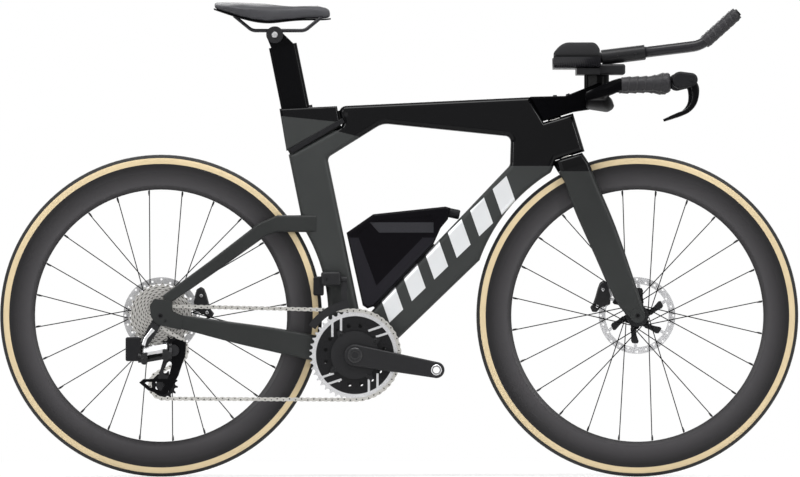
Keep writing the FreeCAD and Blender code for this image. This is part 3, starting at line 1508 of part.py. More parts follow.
class ChainPath:
    """Closed line that the chain's pins lie on, made of straight runs and arcs on pitch circles."""

    def __init__(self, wheels):
        """wheels: (centre, signed radius, sideways place); a negative radius runs clockwise."""
        self.parts = []
        count = len(wheels)
        runs = []
        for index in range(count):
            first, last = wheels[index], wheels[(index + 1) % count]
            gap = last[0] - first[0]
            lean = math.atan2(gap.z, gap.x) - math.asin((last[1] - first[1]) / gap.Length)
            normal = Vector(-math.sin(lean), 0, math.cos(lean))
            runs.append((first[0] - normal * first[1], last[0] - normal * last[1], first[2], last[2]))
        self.length = 0
        for index in range(count):
            start, end, side, next_side = runs[index]
            reach = (end - start).Length
            self.parts.append(("run", self.length, reach, start, end, side, next_side))
            self.length += reach
            centre, radius, side = wheels[(index + 1) % count]
            begin = end - centre
            finish = runs[(index + 1) % count][0] - centre
            first = math.atan2(begin.z, begin.x)
            sweep = math.atan2(finish.z, finish.x) - first
            turn_sign = 1 if radius > 0 else -1
            sweep = turn_sign * ((turn_sign * sweep) % (2 * math.pi))
            reach = abs(sweep * radius)
            self.parts.append(("arc", self.length, reach, centre, abs(radius), first, sweep, side))
            self.length += reach

    def point(self, distance):
        distance = distance % self.length
        for part in self.parts:
            if distance <= part[1] + part[2]:
                share = (distance - part[1]) / part[2]
                if part[0] == "run":
                    eased = share * share * (3 - 2 * share)
                    place = part[3] + (part[4] - part[3]) * share
                    return Vector(place.x, part[5] + (part[6] - part[5]) * eased, place.z)
                angle = part[5] + part[6] * share
                return Vector(part[3].x + part[4] * math.cos(angle), part[7],
                              part[3].z + part[4] * math.sin(angle))
        return self.point(0)

    def walk(self):
        """Distances of the pins, one pitch apart, and the gap left when the chain comes round."""
        start = self.parts[0][2] / 2
        places, here = [start], start
        while True:
            low, high = here, here + 2 * S.chain_pitch
            origin = self.point(here)
            for halving in range(WALK_HALVINGS):
                middle = (low + high) / 2
                if (self.point(middle) - origin).Length < S.chain_pitch:
                    low = middle
                else:
                    high = middle
            here = low
            if here >= start + self.length - S.chain_pitch / 2:
                return places, here - start - self.length
            places.append(here)


WALK_HALVINGS = 46
GUIDE = (f"({REAR_X} + guide_reach)", f"({AXLE_Z} - guide_drop)")


def chain_wheels(cage_lean):
    """The wheels that the chain runs over, with the tension pulley at a lean of the cage."""
    ring, cog, pulley = (pitch_radius(RING_TEETH[0]), pitch_radius(COG_TEETH[0]), pitch_radius(PULLEY_TEETH))
    guide = spot(GUIDE)
    lean = math.radians(cage_lean)
    tension = guide + Vector(-S.pulley_spread * math.sin(lean), 0, -S.pulley_spread * math.cos(lean))
    return [(spot((BRACKET_X, BRACKET_Z)), -ring, -S.outer_ring_place),
            (tension, -pulley, -S.first_cog_place),
            (guide, pulley, -S.first_cog_place),
            (spot((REAR_X, AXLE_Z)), -cog, -S.first_cog_place)]


def settle_cage():
    """Lean of the cage at which a whole, even number of links closes the chain."""
    low, high = CAGE_LEAN_RANGE
    places, left_over = ChainPath(chain_wheels((low + high) / 2)).walk()
    wanted = 2 * round((len(places) + left_over / S.chain_pitch) / 2)

    def excess(lean):
        pins, extra = ChainPath(chain_wheels(lean)).walk()
        return (len(pins) - wanted) * S.chain_pitch - extra

    for halving in range(WALK_HALVINGS):
        middle = (low + high) / 2
        if excess(middle) < 0:
            low = middle
        else:
            high = middle
    return (low + high) / 2


CAGE_LEAN_RANGE = (-10.0, 60.0)
CAGE_LEAN = settle_cage()
WHEELS = chain_wheels(CAGE_LEAN)
PATH = ChainPath(WHEELS)
PINS = [PATH.point(distance) for distance in PATH.walk()[0]]
print(f"cage leans {CAGE_LEAN:.2f} degrees, {len(PINS)} links, closing gap "
      f"{(PINS[0] - PINS[-1]).Length - S.chain_pitch:.4f} mm")


# Chain and toothed wheels
SEAT_HALF_ANGLE = math.radians(62)


def side_vector(angle):
    """Unit side-view direction at an angle above the bicycle's forward direction."""
    return Vector(math.cos(angle), 0, math.sin(angle))


def sprocket(teeth, centre, first_seat, thickness):
    """Toothed disc: round roller seats on the pitch circle, straight flanks and flat tips."""
    radius = pitch_radius(teeth)
    seat_radius = S.roller_radius + S.roller_seat_gap
    tip = radius + S.tooth_rise
    edges, ends = [], []
    for number in range(teeth):
        angle = first_seat + 2 * math.pi * number / teeth
        middle = side_vector(angle) * radius
        places = []
        for sign in (-1, 1):
            inward = angle + math.pi - sign * SEAT_HALF_ANGLE
            start = middle + side_vector(inward) * seat_radius
            flank = side_vector(inward - sign * math.pi / 2)
            slope = start.dot(flank)
            reach = -slope + math.sqrt(slope * slope + tip * tip - start.dot(start))
            places.append((start, start + flank * reach))
        low = side_vector(angle) * (radius - seat_radius)
        edges.append(Part.LineSegment(places[0][1], places[0][0]).toShape())
        edges.append(Part.Arc(places[0][0], low, places[1][0]).toShape())
        edges.append(Part.LineSegment(places[1][0], places[1][1]).toShape())
        ends.append((places[0][1], places[1][1]))
    for number in range(teeth):
        edges.append(Part.LineSegment(ends[number][1], ends[(number + 1) % teeth][0]).toShape())
    outline = Part.Wire(Part.__sortEdges__(edges))
    disc = Part.Face(outline).extrude(Vector(0, thickness, 0))
    disc.translate(centre - Vector(0, thickness / 2, 0))
    return disc


def drilled(disc, centre, thickness, bore, ring_radius=0, hole_radius=0, holes=0, first_angle=0):
    """Disc with a bore and a ring of round holes."""
    low = centre - Vector(0, thickness / 2, 0)
    way = Vector(0, 1, 0)
    tools = [Part.makeCylinder(bore, thickness, low, way)]
    for number in range(holes):
        place = low + side_vector(first_angle + 2 * math.pi * number / holes) * ring_radius
        tools.append(Part.makeCylinder(hole_radius, thickness, place, way))
    return disc.cut(tools)


def seat_angle(wheel):
    """Angle of the roller seat under the pin that lies deepest on a wheel."""
    centre, radius, sideways = wheel
    flat = [Vector(pin.x - centre.x, 0, pin.z - centre.z) for pin in PINS]
    errors = [abs(place.Length - abs(radius)) for place in flat]
    on_wheel = [index for index in range(len(flat)) if errors[index] < S.roller_seat_gap / 8]
    runs = [index for index in on_wheel if (index + 1) % len(flat) in on_wheel]
    best = flat[runs[len(runs) // 2]]
    return math.atan2(best.z, best.x)


# Link plate outline: along the pitch from its middle, half the height
LINK_SHARES = ((-0.82, 0.42), (-0.62, 1.0), (-0.32, 1.0), (0.0, 0.72), (0.32, 1.0), (0.62, 1.0), (0.82, 0.42))
ROLLER_SIDES = 8


def link_plate(sideways):
    half = S.plate_height / 2
    upper = [(along * S.chain_pitch, height * half) for along, height in LINK_SHARES]
    lower = [(along, -height) for along, height in upper[::-1]]
    return flat_plate(upper + lower, sideways, S.plate_thickness)


def roller(along):
    corners = []
    for number in range(ROLLER_SIDES):
        angle = 2 * math.pi * (number + 0.5) / ROLLER_SIDES
        corners.append((along + S.roller_radius * math.cos(angle), S.roller_radius * math.sin(angle)))
    return flat_plate(corners, 0, S.roller_width)


def make_chain():
    """Roller chain: inner links carry the rollers, outer links lie over their ends."""
    inner_place = (S.roller_width + S.plate_thickness) / 2
    outer_place = inner_place + S.plate_thickness + S.plate_gap
    half = S.chain_pitch / 2
    inner = link_plate(inner_place).fuse([link_plate(-inner_place), roller(-half), roller(half)])
    inner = inner.removeSplitter()
    outer = [link_plate(outer_place), link_plate(-outer_place)]
    links = []
    for number, pin in enumerate(PINS):
        after = PINS[(number + 1) % len(PINS)]
        along = (after - pin).normalize()
        upward = along.cross(Vector(0, 1, 0)).normalize()
        middle = (pin + after) * 0.5
        sideways = upward.cross(along)
        place = FreeCAD.Placement(FreeCAD.Matrix(
            along.x, sideways.x, upward.x, middle.x, along.y, sideways.y, upward.y, middle.y,
            along.z, sideways.z, upward.z, middle.z, 0, 0, 0, 1))
        for shape in ([inner] if number % 2 == 0 else outer):
            link = shape.copy()
            link.Placement = place
            links.append(link)
    piece(solid_piece("chain", Part.makeCompound(links)))


def make_cassette():
    """Twelve sprockets on the freehub body; the large ones are drilled light."""
    axle = spot((REAR_X, AXLE_Z))
    cogs = []
    for number, teeth in enumerate(COG_TEETH):
        centre = axle + Vector(0, -S.first_cog_place + number * S.cog_spacing, 0)
        start = seat_angle(WHEELS[3]) if number == 0 else number * math.pi / teeth
        holes = HOLES_OF_LARGE_COG if teeth >= 2 * COG_TEETH[1] else 0
        ring = (pitch_radius(teeth) + S.freehub_radius) / 2
        disc = sprocket(teeth, centre, start, S.cog_thickness)
        cogs.append(drilled(disc, centre, S.cog_thickness, S.freehub_radius + S.fit_gap, ring,
                            S.cog_hole_radius, holes))
    stack = solid_piece("cassette_cogs", Part.makeCompound(cogs))
    start = "(rear_right_flange + flange_thickness / 2 + soft_gap)"
    end = "(rear_hub_width / 2 - soft_gap)"
    bore = "rear_axle_radius + fit_gap"
    freehub = lathe_on_axle("freehub_body", [
        (f"-{end}", bore), (f"-{end}", "hub_cap_radius"), ("-first_cog_place - cog_thickness",
                                                           "hub_cap_radius"),
        ("-first_cog_place - cog_thickness", "freehub_radius"), (f"-{start}", "freehub_radius"),
        (f"-{start}", bore)], REAR_X)
    piece(group("cassette", [stack, freehub]))


HOLES_OF_LARGE_COG = 10


def make_chainrings():
    bracket = spot((BRACKET_X, BRACKET_Z))
    crank = -math.radians(S.crank_angle)
    rings = []
    for label, teeth, sideways, start in (
            ("outer_chainring", RING_TEETH[0], S.outer_ring_place, seat_angle(WHEELS[0])),
            ("inner_ring", RING_TEETH[1], S.inner_ring_place, 0)):
        centre = bracket - Vector(0, sideways, 0)
        disc = sprocket(teeth, centre, start, S.ring_thickness)
        ring = (pitch_radius(RING_TEETH[1]) + S.spider_lobe) / 2
        holes = RING_HOLES if teeth == RING_TEETH[0] else 0
        rings.append(solid_piece(label, drilled(disc, centre, S.ring_thickness, S.ring_web_radius, ring,
                                                S.ring_hole_radius, holes, crank)))
    near = S.inner_ring_place + S.ring_thickness / 2
    far = S.outer_ring_place - S.ring_thickness / 2
    posts = []
    for number in range(SPIDER_ARMS):
        place = bracket + side_vector(crank + math.pi * (2 * number + 1) / SPIDER_ARMS) * S.spider_radius
        posts.append(bar(place - Vector(0, near, 0), place - Vector(0, far, 0), S.ring_post_radius))
    piece(rings[0])
    piece(group("inner_chainring", [rings[1], solid_piece("ring_posts", Part.makeCompound(posts))]))


RING_HOLES = 16
SPIDER_ARMS = 4


def crank_arm(sign, angle):
    """Forged arm from the spindle's boss to the pedal eye, with its pedal thread; sign is the side."""
    bracket = spot((BRACKET_X, BRACKET_Z))
    eye = bracket + side_vector(angle) * S.crank_length
    middle = S.pedal_face - S.crank_thickness / 2
    arm = hull_plate((bracket.x, bracket.z), S.crank_boss_radius, (eye.x, eye.z), S.crank_eye_radius,
                     sign * middle, S.crank_thickness)
    arm = arm.makeFillet(S.crank_rounding, [edge for edge in arm.Edges if edge.BoundBox.YLength < S.fit_gap])
    hole = bar(Vector(eye.x, sign * (S.pedal_face - S.crank_thickness), eye.z),
               Vector(eye.x, sign * S.pedal_face, eye.z), S.pedal_thread_radius)
    return arm.cut(hole)


def make_cranks():
    """Right arm with its spider, the spindle against it, and the left arm on the spindle's end."""
    bracket = spot((BRACKET_X, BRACKET_Z))
    angle = -math.radians(S.crank_angle)
    root = S.pedal_face - S.crank_thickness
    face = S.outer_ring_place + S.ring_thickness / 2
    arm = crank_arm(-1, angle)
    lobes = []
    for number in range(SPIDER_ARMS):
        tip = bracket + side_vector(angle + math.pi * (2 * number + 1) / SPIDER_ARMS) * S.spider_lobe
        lobes.append(hull_plate((bracket.x, bracket.z), S.crank_boss_radius, (tip.x, tip.z),
                                S.ring_post_radius,
                                -face - S.spider_thickness / 2, S.spider_thickness))
    disc = bar(bracket - Vector(0, face, 0), bracket - Vector(0, face + S.spider_thickness, 0),
               S.spider_radius)
    neck = bar(bracket - Vector(0, face, 0), bracket - Vector(0, root + S.crank_rounding, 0),
               S.crank_boss_radius)
    spindle = bar(bracket - Vector(0, face, 0), bracket + Vector(0, S.pedal_face - S.crank_rounding, 0),
                  S.spindle_radius - S.fit_gap)
    right = solid_piece("right_arm", arm.fuse(lobes + [disc, neck]).removeSplitter())
    piece(group("right_crank", [right, solid_piece("crank_spindle", spindle)]))
    left = crank_arm(1, angle + math.pi)
    inner = Part.makeCylinder(S.spindle_radius, S.crank_thickness, bracket + Vector(0, root, 0), Vector(0,
                                                                                                        1, 0))
    piece(solid_piece("left_crank", left.cut(inner)))
    lip = "bracket_shell_width / 2"
    rings = []
    for sign in ("", "-"):
        rings.append(lathe_on_axle("bracket_cup_left" if sign == "" else "bracket_cup_right", [
            (f"{sign}({lip} - bracket_bearing_width)", "spindle_radius"),
            (f"{sign}({lip} + bracket_cup_lip)", "spindle_radius"),
            (f"{sign}({lip} + bracket_cup_lip)", "bracket_cup_radius"),
            (f"{sign}({lip} + fit_gap)", "bracket_cup_radius"),
            (f"{sign}({lip} + fit_gap)", "bracket_bore_radius - fit_gap"),
            (f"{sign}({lip} - bracket_bearing_width)", "bracket_bore_radius - fit_gap")], BRACKET_X,
            BRACKET_Z))
    piece(group("bottom_bracket", rings))


make_chain()
make_cassette()
make_chainrings()
make_cranks()


# Rear derailleur
FORK = next(thing for thing in PIECES if thing.Label == "fork")
BASE_BAR = next(thing for thing in PIECES if thing.Label == "base_bar")


def linkage_place(origin):
    """Frame of the parallelogram: its own Y axis is the direction of the four link pins."""
    slant = math.radians(S.swing_slant)
    pins = Vector(0, math.sin(slant), math.cos(slant))
    over = Vector(1, 0, 0).cross(pins)
    return FreeCAD.Placement(FreeCAD.Matrix(1, pins.x, over.x, origin.x, 0, pins.y, over.y, origin.y,
                                            0, pins.z, over.z, origin.z, 0, 0, 0, 1))


def link_vector():
    splay = math.radians(S.link_splay)
    return S.link_length * math.cos(splay), S.link_length * math.sin(splay)


def lugs(centre, wall_side):
    """Two lugs over and under both links at one end, joined by a wall on the far side."""
    half = S.link_spacing / 2
    shelf = S.link_height / 2 + S.lug_gap
    shapes = []
    for sign in (-1, 1):
        shapes.append(hull_plate((centre[0], centre[1] - half), S.lug_end_radius, (centre[0],
                                                                                   centre[1] + half),
                                 S.lug_end_radius, sign * (shelf + S.lug_thickness / 2), S.lug_thickness))
    reach = S.lug_wall_reach + S.lug_wall
    near = centre[0] if wall_side > 0 else centre[0] - reach
    height = 2 * (shelf + S.lug_thickness)
    width = S.link_spacing
    side_plates = []
    for sign in (-1, 1):
        side_plates.append(Part.makeBox(reach, S.lug_thickness, width, Vector(
            near, sign * (shelf + S.lug_thickness / 2) - S.lug_thickness / 2, centre[1] - width / 2)))
    wall = Part.makeBox(S.lug_wall, height, width, Vector(
        centre[0] + wall_side * S.lug_wall_reach - (0 if wall_side > 0 else S.lug_wall), -height / 2,
        centre[1] - width / 2))
    pins = [bar(Vector(centre[0], -shelf - S.lug_thickness / 2, centre[1] + sign * half),
                Vector(centre[0], shelf + S.lug_thickness / 2, centre[1] + sign * half), S.link_pin_radius)
            for sign in (-1, 1)]
    return shapes[0].fuse(shapes[1:] + side_plates + [wall] + pins)


def swing_room(centre, wall_side):
    """Space that the links need between the lugs of one end."""
    height = S.link_height + 2 * S.lug_gap
    reach = S.link_length
    start = centre[0] - S.lug_wall_reach if wall_side < 0 else centre[0] + S.lug_wall_reach - reach
    return Part.makeBox(reach, height, 2 * S.link_length,
                        Vector(start, -height / 2, centre[1] - S.link_length))


def make_rear_derailleur():
    """Parallelogram mechanism on its hanger: base, two links, knuckle, sprung cage and two pulleys."""
    hanger_x = value(f"{REAR_X} - hanger_back")
    hanger_z = value(f"{AXLE_Z} - hanger_drop")
    axle = spot((REAR_X, AXLE_Z))
    inner_face = S.rear_hub_width / 2
    hanger = hull_plate((axle.x, axle.z), S.hanger_eye_radius, (hanger_x, hanger_z), S.hanger_eye_radius,
                        -inner_face - S.dropout_thickness / 2, S.hanger_thickness)
    axle_hole = bar(axle, axle - Vector(0, 2 * inner_face, 0), S.rear_axle_radius)
    piece(solid_piece("derailleur_hanger", largest(seated(hanger.cut(axle_hole), RIGHT_STAYS))))
    guide = spot(GUIDE, "-first_cog_place")
    tension = WHEELS[1][0] - Vector(0, S.first_cog_place, 0)
    ahead, over = link_vector()
    knuckle_pins = Vector(guide.x - S.knuckle_reach, -S.knuckle_place, guide.z - S.knuckle_drop)
    local = linkage_place(Vector(0, 0, 0))
    origin = knuckle_pins - local.multVec(Vector(ahead, 0, over))
    place = linkage_place(origin).toMatrix()
    half = S.link_spacing / 2
    for label, sign in (("outer_link", 1), ("inner_link", -1)):
        link = hull_plate((0, sign * half), S.link_end_radius, (ahead, over + sign * half), S.link_end_radius,
                          0, S.link_height)
        for end in ((0, sign * half), (ahead, over + sign * half)):
            link = link.cut(bar(Vector(end[0], -S.link_height, end[1]), Vector(end[0], S.link_height, end[1]),
                                S.link_pin_radius + S.fit_gap))
        piece(solid_piece(label, link.transformed(place)))
    start = inner_face + S.dropout_thickness / 2 + S.hanger_thickness / 2 + S.fit_gap
    barrel = bar(Vector(hanger_x, -start, hanger_z), Vector(hanger_x, -start - S.base_barrel_length,
                                                            hanger_z),
                 S.base_barrel_radius)
    shelf = S.link_height / 2 + S.lug_gap + S.lug_thickness
    low = linkage_place(origin).multVec(Vector(-S.lug_wall_reach, shelf, 0))
    arm = hull_plate((hanger_x, hanger_z), S.base_barrel_radius, (low.x, low.z), S.lug_end_radius,
                     -start - S.base_barrel_length / 2, S.base_barrel_length)
    base = arm.fuse([barrel]).cut(swing_room((0, 0), -1).transformed(place))
    base = base.fuse(lugs((0, 0), -1).transformed(place))
    base = solid_piece("rear_derailleur_base", largest(base.removeSplitter()))
    piece(base)
    back = linkage_place(origin).multVec(Vector(-S.lug_wall_reach - S.lug_wall, 0, 0))
    battery = rounded_block(Vector(back.x - S.battery_length / 2 + S.battery_rounding, back.y,
                                   back.z + S.battery_height / 4),
                            S.battery_length + S.battery_rounding, S.battery_width, S.battery_height,
                            S.battery_rounding)
    BATTERIES.append(solid_piece("rear_battery", largest(seated(battery, base))))
    plate_outside = S.first_cog_place + S.cage_plate_gap + S.cage_plate_thickness
    body = bar(Vector(guide.x, -plate_outside - S.lug_gap, guide.z), Vector(guide.x, -S.knuckle_end, guide.z),
               S.knuckle_radius)
    knuckle = body.cut(swing_room((ahead, over), 1).transformed(place))
    knuckle = knuckle.fuse(lugs((ahead, over), 1).transformed(place))
    piece(solid_piece("derailleur_knuckle", largest(knuckle.removeSplitter())))
    make_cage(guide, tension)


def make_cage(guide, tension):
    """Pulley cage: two plates with windows, held apart by the pulley bolts."""
    place = S.cage_plate_gap + S.cage_plate_thickness / 2
    shapes = []
    between = tension - guide
    for sign in (-1, 1):
        plate = hull_plate((guide.x, guide.z), S.cage_end_radius, (tension.x, tension.z), S.cage_end_radius,
                           guide.y + sign * place, S.cage_plate_thickness)
        first, last = guide + between * WINDOW_SHARES[0], guide + between * WINDOW_SHARES[1]
        window = hull_plate((first.x, first.z), S.cage_end_radius / 3, (last.x, last.z),
                            S.cage_end_radius / 2,
                            guide.y + sign * place, S.cage_plate_thickness)
        shapes.append(plate.cut(window))
    span = Vector(0, place, 0)
    for centre in (guide, tension):
        shapes.append(bar(centre - span, centre + span, S.pulley_bore_radius - S.fit_gap))
    piece(solid_piece("derailleur_cage", shapes[0].fuse(shapes[1:]).removeSplitter()))
    for label, centre, wheel in (("guide_pulley", guide, WHEELS[2]), ("tension_pulley", tension, WHEELS[1])):
        disc = sprocket(PULLEY_TEETH, centre, seat_angle(wheel), S.pulley_thickness)
        ring = pitch_radius(PULLEY_TEETH) / 2
        piece(solid_piece(label, drilled(disc, centre, S.pulley_thickness, S.pulley_bore_radius, ring,
                                         S.pulley_hole_radius, PULLEY_TEETH // 2)))


WINDOW_SHARES = (0.36, 0.62)
BATTERIES = []
make_rear_derailleur()


# Front derailleur
def make_front_derailleur():
    """Motor housing on the seat tube with its battery; the cage swings on a pin along the bicycle."""
    bracket = spot((BRACKET_X, BRACKET_Z))
    start = S.frame_rear_width / 4
    back = bracket.x - S.swing_body_back
    width = S.swing_body_end - start
    body = rounded_block(Vector(back + S.swing_body_length / 2, -start - width / 2,
                                bracket.z + S.swing_body_rise + S.swing_body_height / 2),
                         S.swing_body_length, width, S.swing_body_height, S.swing_body_rounding)
    pin_z = bracket.z + S.swing_pin_rise
    pin_start = Vector(back + S.swing_body_rounding, -S.swing_pin_place, pin_z)
    front = back + S.swing_body_length
    arm_start = front + S.lug_gap
    pin = bar(pin_start, Vector(arm_start + S.swing_arm_width, -S.swing_pin_place, pin_z), S.swing_pin_radius)
    housing = solid_piece("front_derailleur_body", largest(seated(body.fuse(pin), MAIN_FRAME)))
    piece(housing)
    battery = rounded_block(Vector(back - S.swing_battery_length / 2 + S.battery_rounding,
                                   -start - width / 2, bracket.z + S.swing_body_rise),
                            S.swing_battery_length + S.battery_rounding, S.swing_battery_width,
                            S.swing_battery_height, S.battery_rounding)
    BATTERIES.append(solid_piece("front_battery", largest(seated(battery, housing, MAIN_FRAME))))
    centre = -S.outer_ring_place
    shapes = []
    for sign in (-1, 1):
        shapes.append(ring_segment(bracket, centre + sign * (S.swing_cage_gap + S.swing_plate / 2),
                                   S.swing_plate))
    bridge = bracket + side_vector(math.radians(BRIDGE_ANGLE)) * (S.swing_cage_inner + S.swing_cage_outer) / 2
    reach = 2 * (S.swing_cage_gap + S.swing_plate)
    shapes.append(block(Vector(bridge.x, centre, bridge.z), S.swing_arm_width, reach, S.swing_plate))
    eye = Vector(arm_start + S.swing_arm_width / 2, -S.swing_pin_place, pin_z)
    foot = Vector(eye.x, centre + S.swing_cage_gap + S.swing_plate / 2, bracket.z + S.swing_cage_inner)
    collar = bar(eye - Vector(S.swing_arm_width / 2, 0, 0), eye + Vector(S.swing_arm_width / 2, 0, 0),
                 2 * S.swing_pin_radius)
    corners = [eye + Vector(-S.swing_arm_width / 2, side * S.swing_pin_radius, 0) for side in (1, -1)]
    corners += [foot + Vector(-S.swing_arm_width / 2, side * S.swing_plate / 2, 0) for side in (-1, 1)]
    corners = [Vector(arm_start, corner.y, corner.z) for corner in corners]
    arm = Part.Face(Part.makePolygon(corners + corners[:1])).extrude(Vector(S.swing_arm_width, 0, 0))
    bore = bar(eye - Vector(S.swing_arm_width, 0, 0), eye + Vector(S.swing_arm_width, 0, 0),
               S.swing_pin_radius + S.fit_gap)
    cage = shapes[0].fuse(shapes[1:] + [collar, arm]).cut(bore)
    piece(solid_piece("front_derailleur_cage", cage.removeSplitter()))


def ring_segment(centre, sideways, thickness):
    """Curved plate about the chainrings' axis."""
    low, high = [math.radians(angle) for angle in SWING_ANGLES]
    mid = (low + high) / 2

    def at(radius, angle):
        return Vector(centre.x, sideways - thickness / 2, centre.z) + side_vector(angle) * radius

    edges = [Part.Arc(at(S.swing_cage_inner, low), at(S.swing_cage_inner, mid), at(S.swing_cage_inner,
                                                                                   high)).toShape(),
             Part.LineSegment(at(S.swing_cage_inner, high), at(S.swing_cage_outer, high)).toShape(),
             Part.Arc(at(S.swing_cage_outer, high), at(S.swing_cage_outer, mid), at(S.swing_cage_outer,
                                                                                    low)).toShape(),
             Part.LineSegment(at(S.swing_cage_outer, low), at(S.swing_cage_inner, low)).toShape()]
    return Part.Face(Part.Wire(edges)).extrude(Vector(0, thickness, 0))


SWING_ANGLES = (97, 147)
BRIDGE_ANGLE = 142
make_front_derailleur()
piece(group("derailleur_batteries", BATTERIES))


# Brake calipers
def make_caliper(label, across, up, rotor_x, sideways, neighbour):
    """Caliper housing that straddles the disc's edge and stands on the frame or fork."""
    axle = Vector(value(rotor_x), value(sideways), value(AXLE_Z))
    middle = Vector(value(across), axle.y, value(up))
    body = rounded_block(middle, S.caliper_length, S.caliper_width, S.caliper_height, S.caliper_rounding)
    room = S.rotor_radius + S.rotor_room
    half = S.caliper_slot / 2
    body = body.cut(bar(axle - Vector(0, half, 0), axle + Vector(0, half, 0), room))
    piece(solid_piece(label, largest(seated(body, neighbour))))


make_caliper("rear_caliper", f"{REAR_X} + rear_caliper_ahead", f"{AXLE_Z} + rear_caliper_rise", REAR_X,
             "rear_rotor_place", LEFT_STAYS)
make_caliper("front_caliper", f"{FRONT_X} - front_caliper_back", f"{AXLE_Z} + front_caliper_rise", FRONT_X,
             "front_rotor_place", FORK)


def side_edge_list(shape, middle):
    """Edges on the two side faces of a plate whose middle plane is given."""
    least = shape.BoundBox.YLength / 4
    return [edge for edge in shape.Edges if abs(edge.CenterOfMass.y - middle) > least]


# Hand grips and brake levers of the base bar
def make_bar_grips():
    """Taped grips: nearly even, then swollen in front as a stop for the hand."""
    grips = []
    for side in (1, -1):
        root, bend, tip = grip_line(side)
        way = (tip - bend).normalize()
        bore = S.grip_radius - S.tape_thickness + S.soft_gap
        swell = S.grip_radius + S.grip_swell
        marks = [(share * S.grip_length, radius) for share, radius in zip(
            GRIP_SHARES, (S.grip_radius, S.grip_radius, swell, swell, S.grip_radius))]
        outer = [Vector(along, 0, radius) for along, radius in marks]
        inner = [Vector(marks[-1][0], 0, bore), Vector(marks[0][0], 0, bore)]
        outline = Part.Face(Part.makePolygon(outer + inner + outer[:1]))
        grip = outline.revolve(Vector(0, 0, 0), Vector(1, 0, 0), 360)
        grip.Placement = FreeCAD.Placement(bend, FreeCAD.Rotation(Vector(1, 0, 0), way))
        grips.append(grip)
    piece(solid_piece("bar_grips", Part.makeCompound(grips)))


GRIP_SHARES = (0.02, 0.62, 0.86, 0.94, 0.995)
# Brake lever outline from its pin: ahead, up, half thickness, in lever lengths
LEVER_SHARES = ((0.0, 0.0, 0.085), (0.11, -0.20, 0.10), (0.07, -0.53, 0.075), (-0.10, -0.72, 0.062),
                (-0.53, -0.88, 0.06))


def lever_pin(side):
    tip = grip_line(side)[2]
    return tip + Vector(S.lever_pin_ahead, 0, S.lever_pin_rise)


def make_brake_levers():
    """Lever housings on the bar's ends; the blades hang from pins in their slots."""
    bodies = []
    for side, label in ((1, "left_brake_lever"), (-1, "right_brake_lever")):
        tip = grip_line(side)[2]
        pin = lever_pin(side)
        heel = S.lever_body_height / 2
        body = hull_plate((tip.x + heel, tip.z + S.lever_pin_rise * LEVER_BODY_LIFT_SHARE), heel, (pin.x,
                                                                                                   pin.z),
                          S.lever_nose_radius, pin.y, S.lever_body_width)
        body = body.makeFillet(S.lever_body_rounding, side_edge_list(body, pin.y))
        body = body.cut(BASE_BAR.Shape)
        slot = block(Vector(pin.x + S.lever_body_length / 4, pin.y, pin.z - S.lever_body_height / 2),
                     S.lever_body_length, S.lever_thickness + 2 * S.lever_slot_gap, S.lever_body_height)
        slot = slot.fuse(bar(pin - Vector(0, S.lever_thickness / 2 + S.lever_slot_gap, 0),
                             pin + Vector(0, S.lever_thickness / 2 + S.lever_slot_gap, 0),
                             S.lever_length * LEVER_SLOT_SHARE))
        span = Vector(0, S.lever_body_width / 2 - S.lever_slot_gap, 0)
        bodies.append(body.cut(slot).fuse(bar(pin - span, pin + span, S.lever_pin_radius)).removeSplitter())
        blades = []
        for first, last in zip(LEVER_SHARES, LEVER_SHARES[1:]):
            blades.append(hull_plate(
                (pin.x + first[0] * S.lever_length, pin.z + first[1] * S.lever_length),
                first[2] * S.lever_length,
                (pin.x + last[0] * S.lever_length, pin.z + last[1] * S.lever_length),
                last[2] * S.lever_length,
                pin.y, S.lever_thickness))
        span = Vector(0, S.lever_thickness, 0)
        hole = bar(pin - span, pin + span, S.lever_pin_radius + S.fit_gap)
        piece(solid_piece(label, blades[0].fuse(blades[1:]).cut(hole).removeSplitter()))
    piece(solid_piece("lever_bodies", Part.makeCompound(bodies)))


LEVER_BODY_LIFT_SHARE = 0.8
LEVER_SLOT_SHARE = 0.12


# Arm rests and extensions
def make_riser():
    """Riser between the stem and the extension bracket."""
    high = bar_point(S.riser_chord / 2 - S.riser_back, 0, S.riser_top)
    low = bar_point(S.riser_chord / 2 - S.riser_back, 0, -S.wing_thickness)
    way = Vector(0, 0, 1)
    wires = [aero_section(place, way, Vector(1, 0, 0), S.riser_chord, S.riser_width, WING_TAIL_SHARE)
             for place in (low, high)]
    return solid_piece("riser", largest(seated(loft(wires, True), BASE_BAR)))


def extension_line(side):
    """Rear end, bend corner and front end of an extension's centre line."""
    slope, tip_slope = math.radians(S.extension_slope), math.radians(S.extension_tip_slope)
    start = bar_point(S.extension_back, side * S.extension_spacing / 2, S.extension_rise)
    corner = start + side_vector(slope) * (S.extension_straight + S.extension_bend_radius / 2)
    return start, corner, corner + side_vector(tip_slope) * S.extension_tip


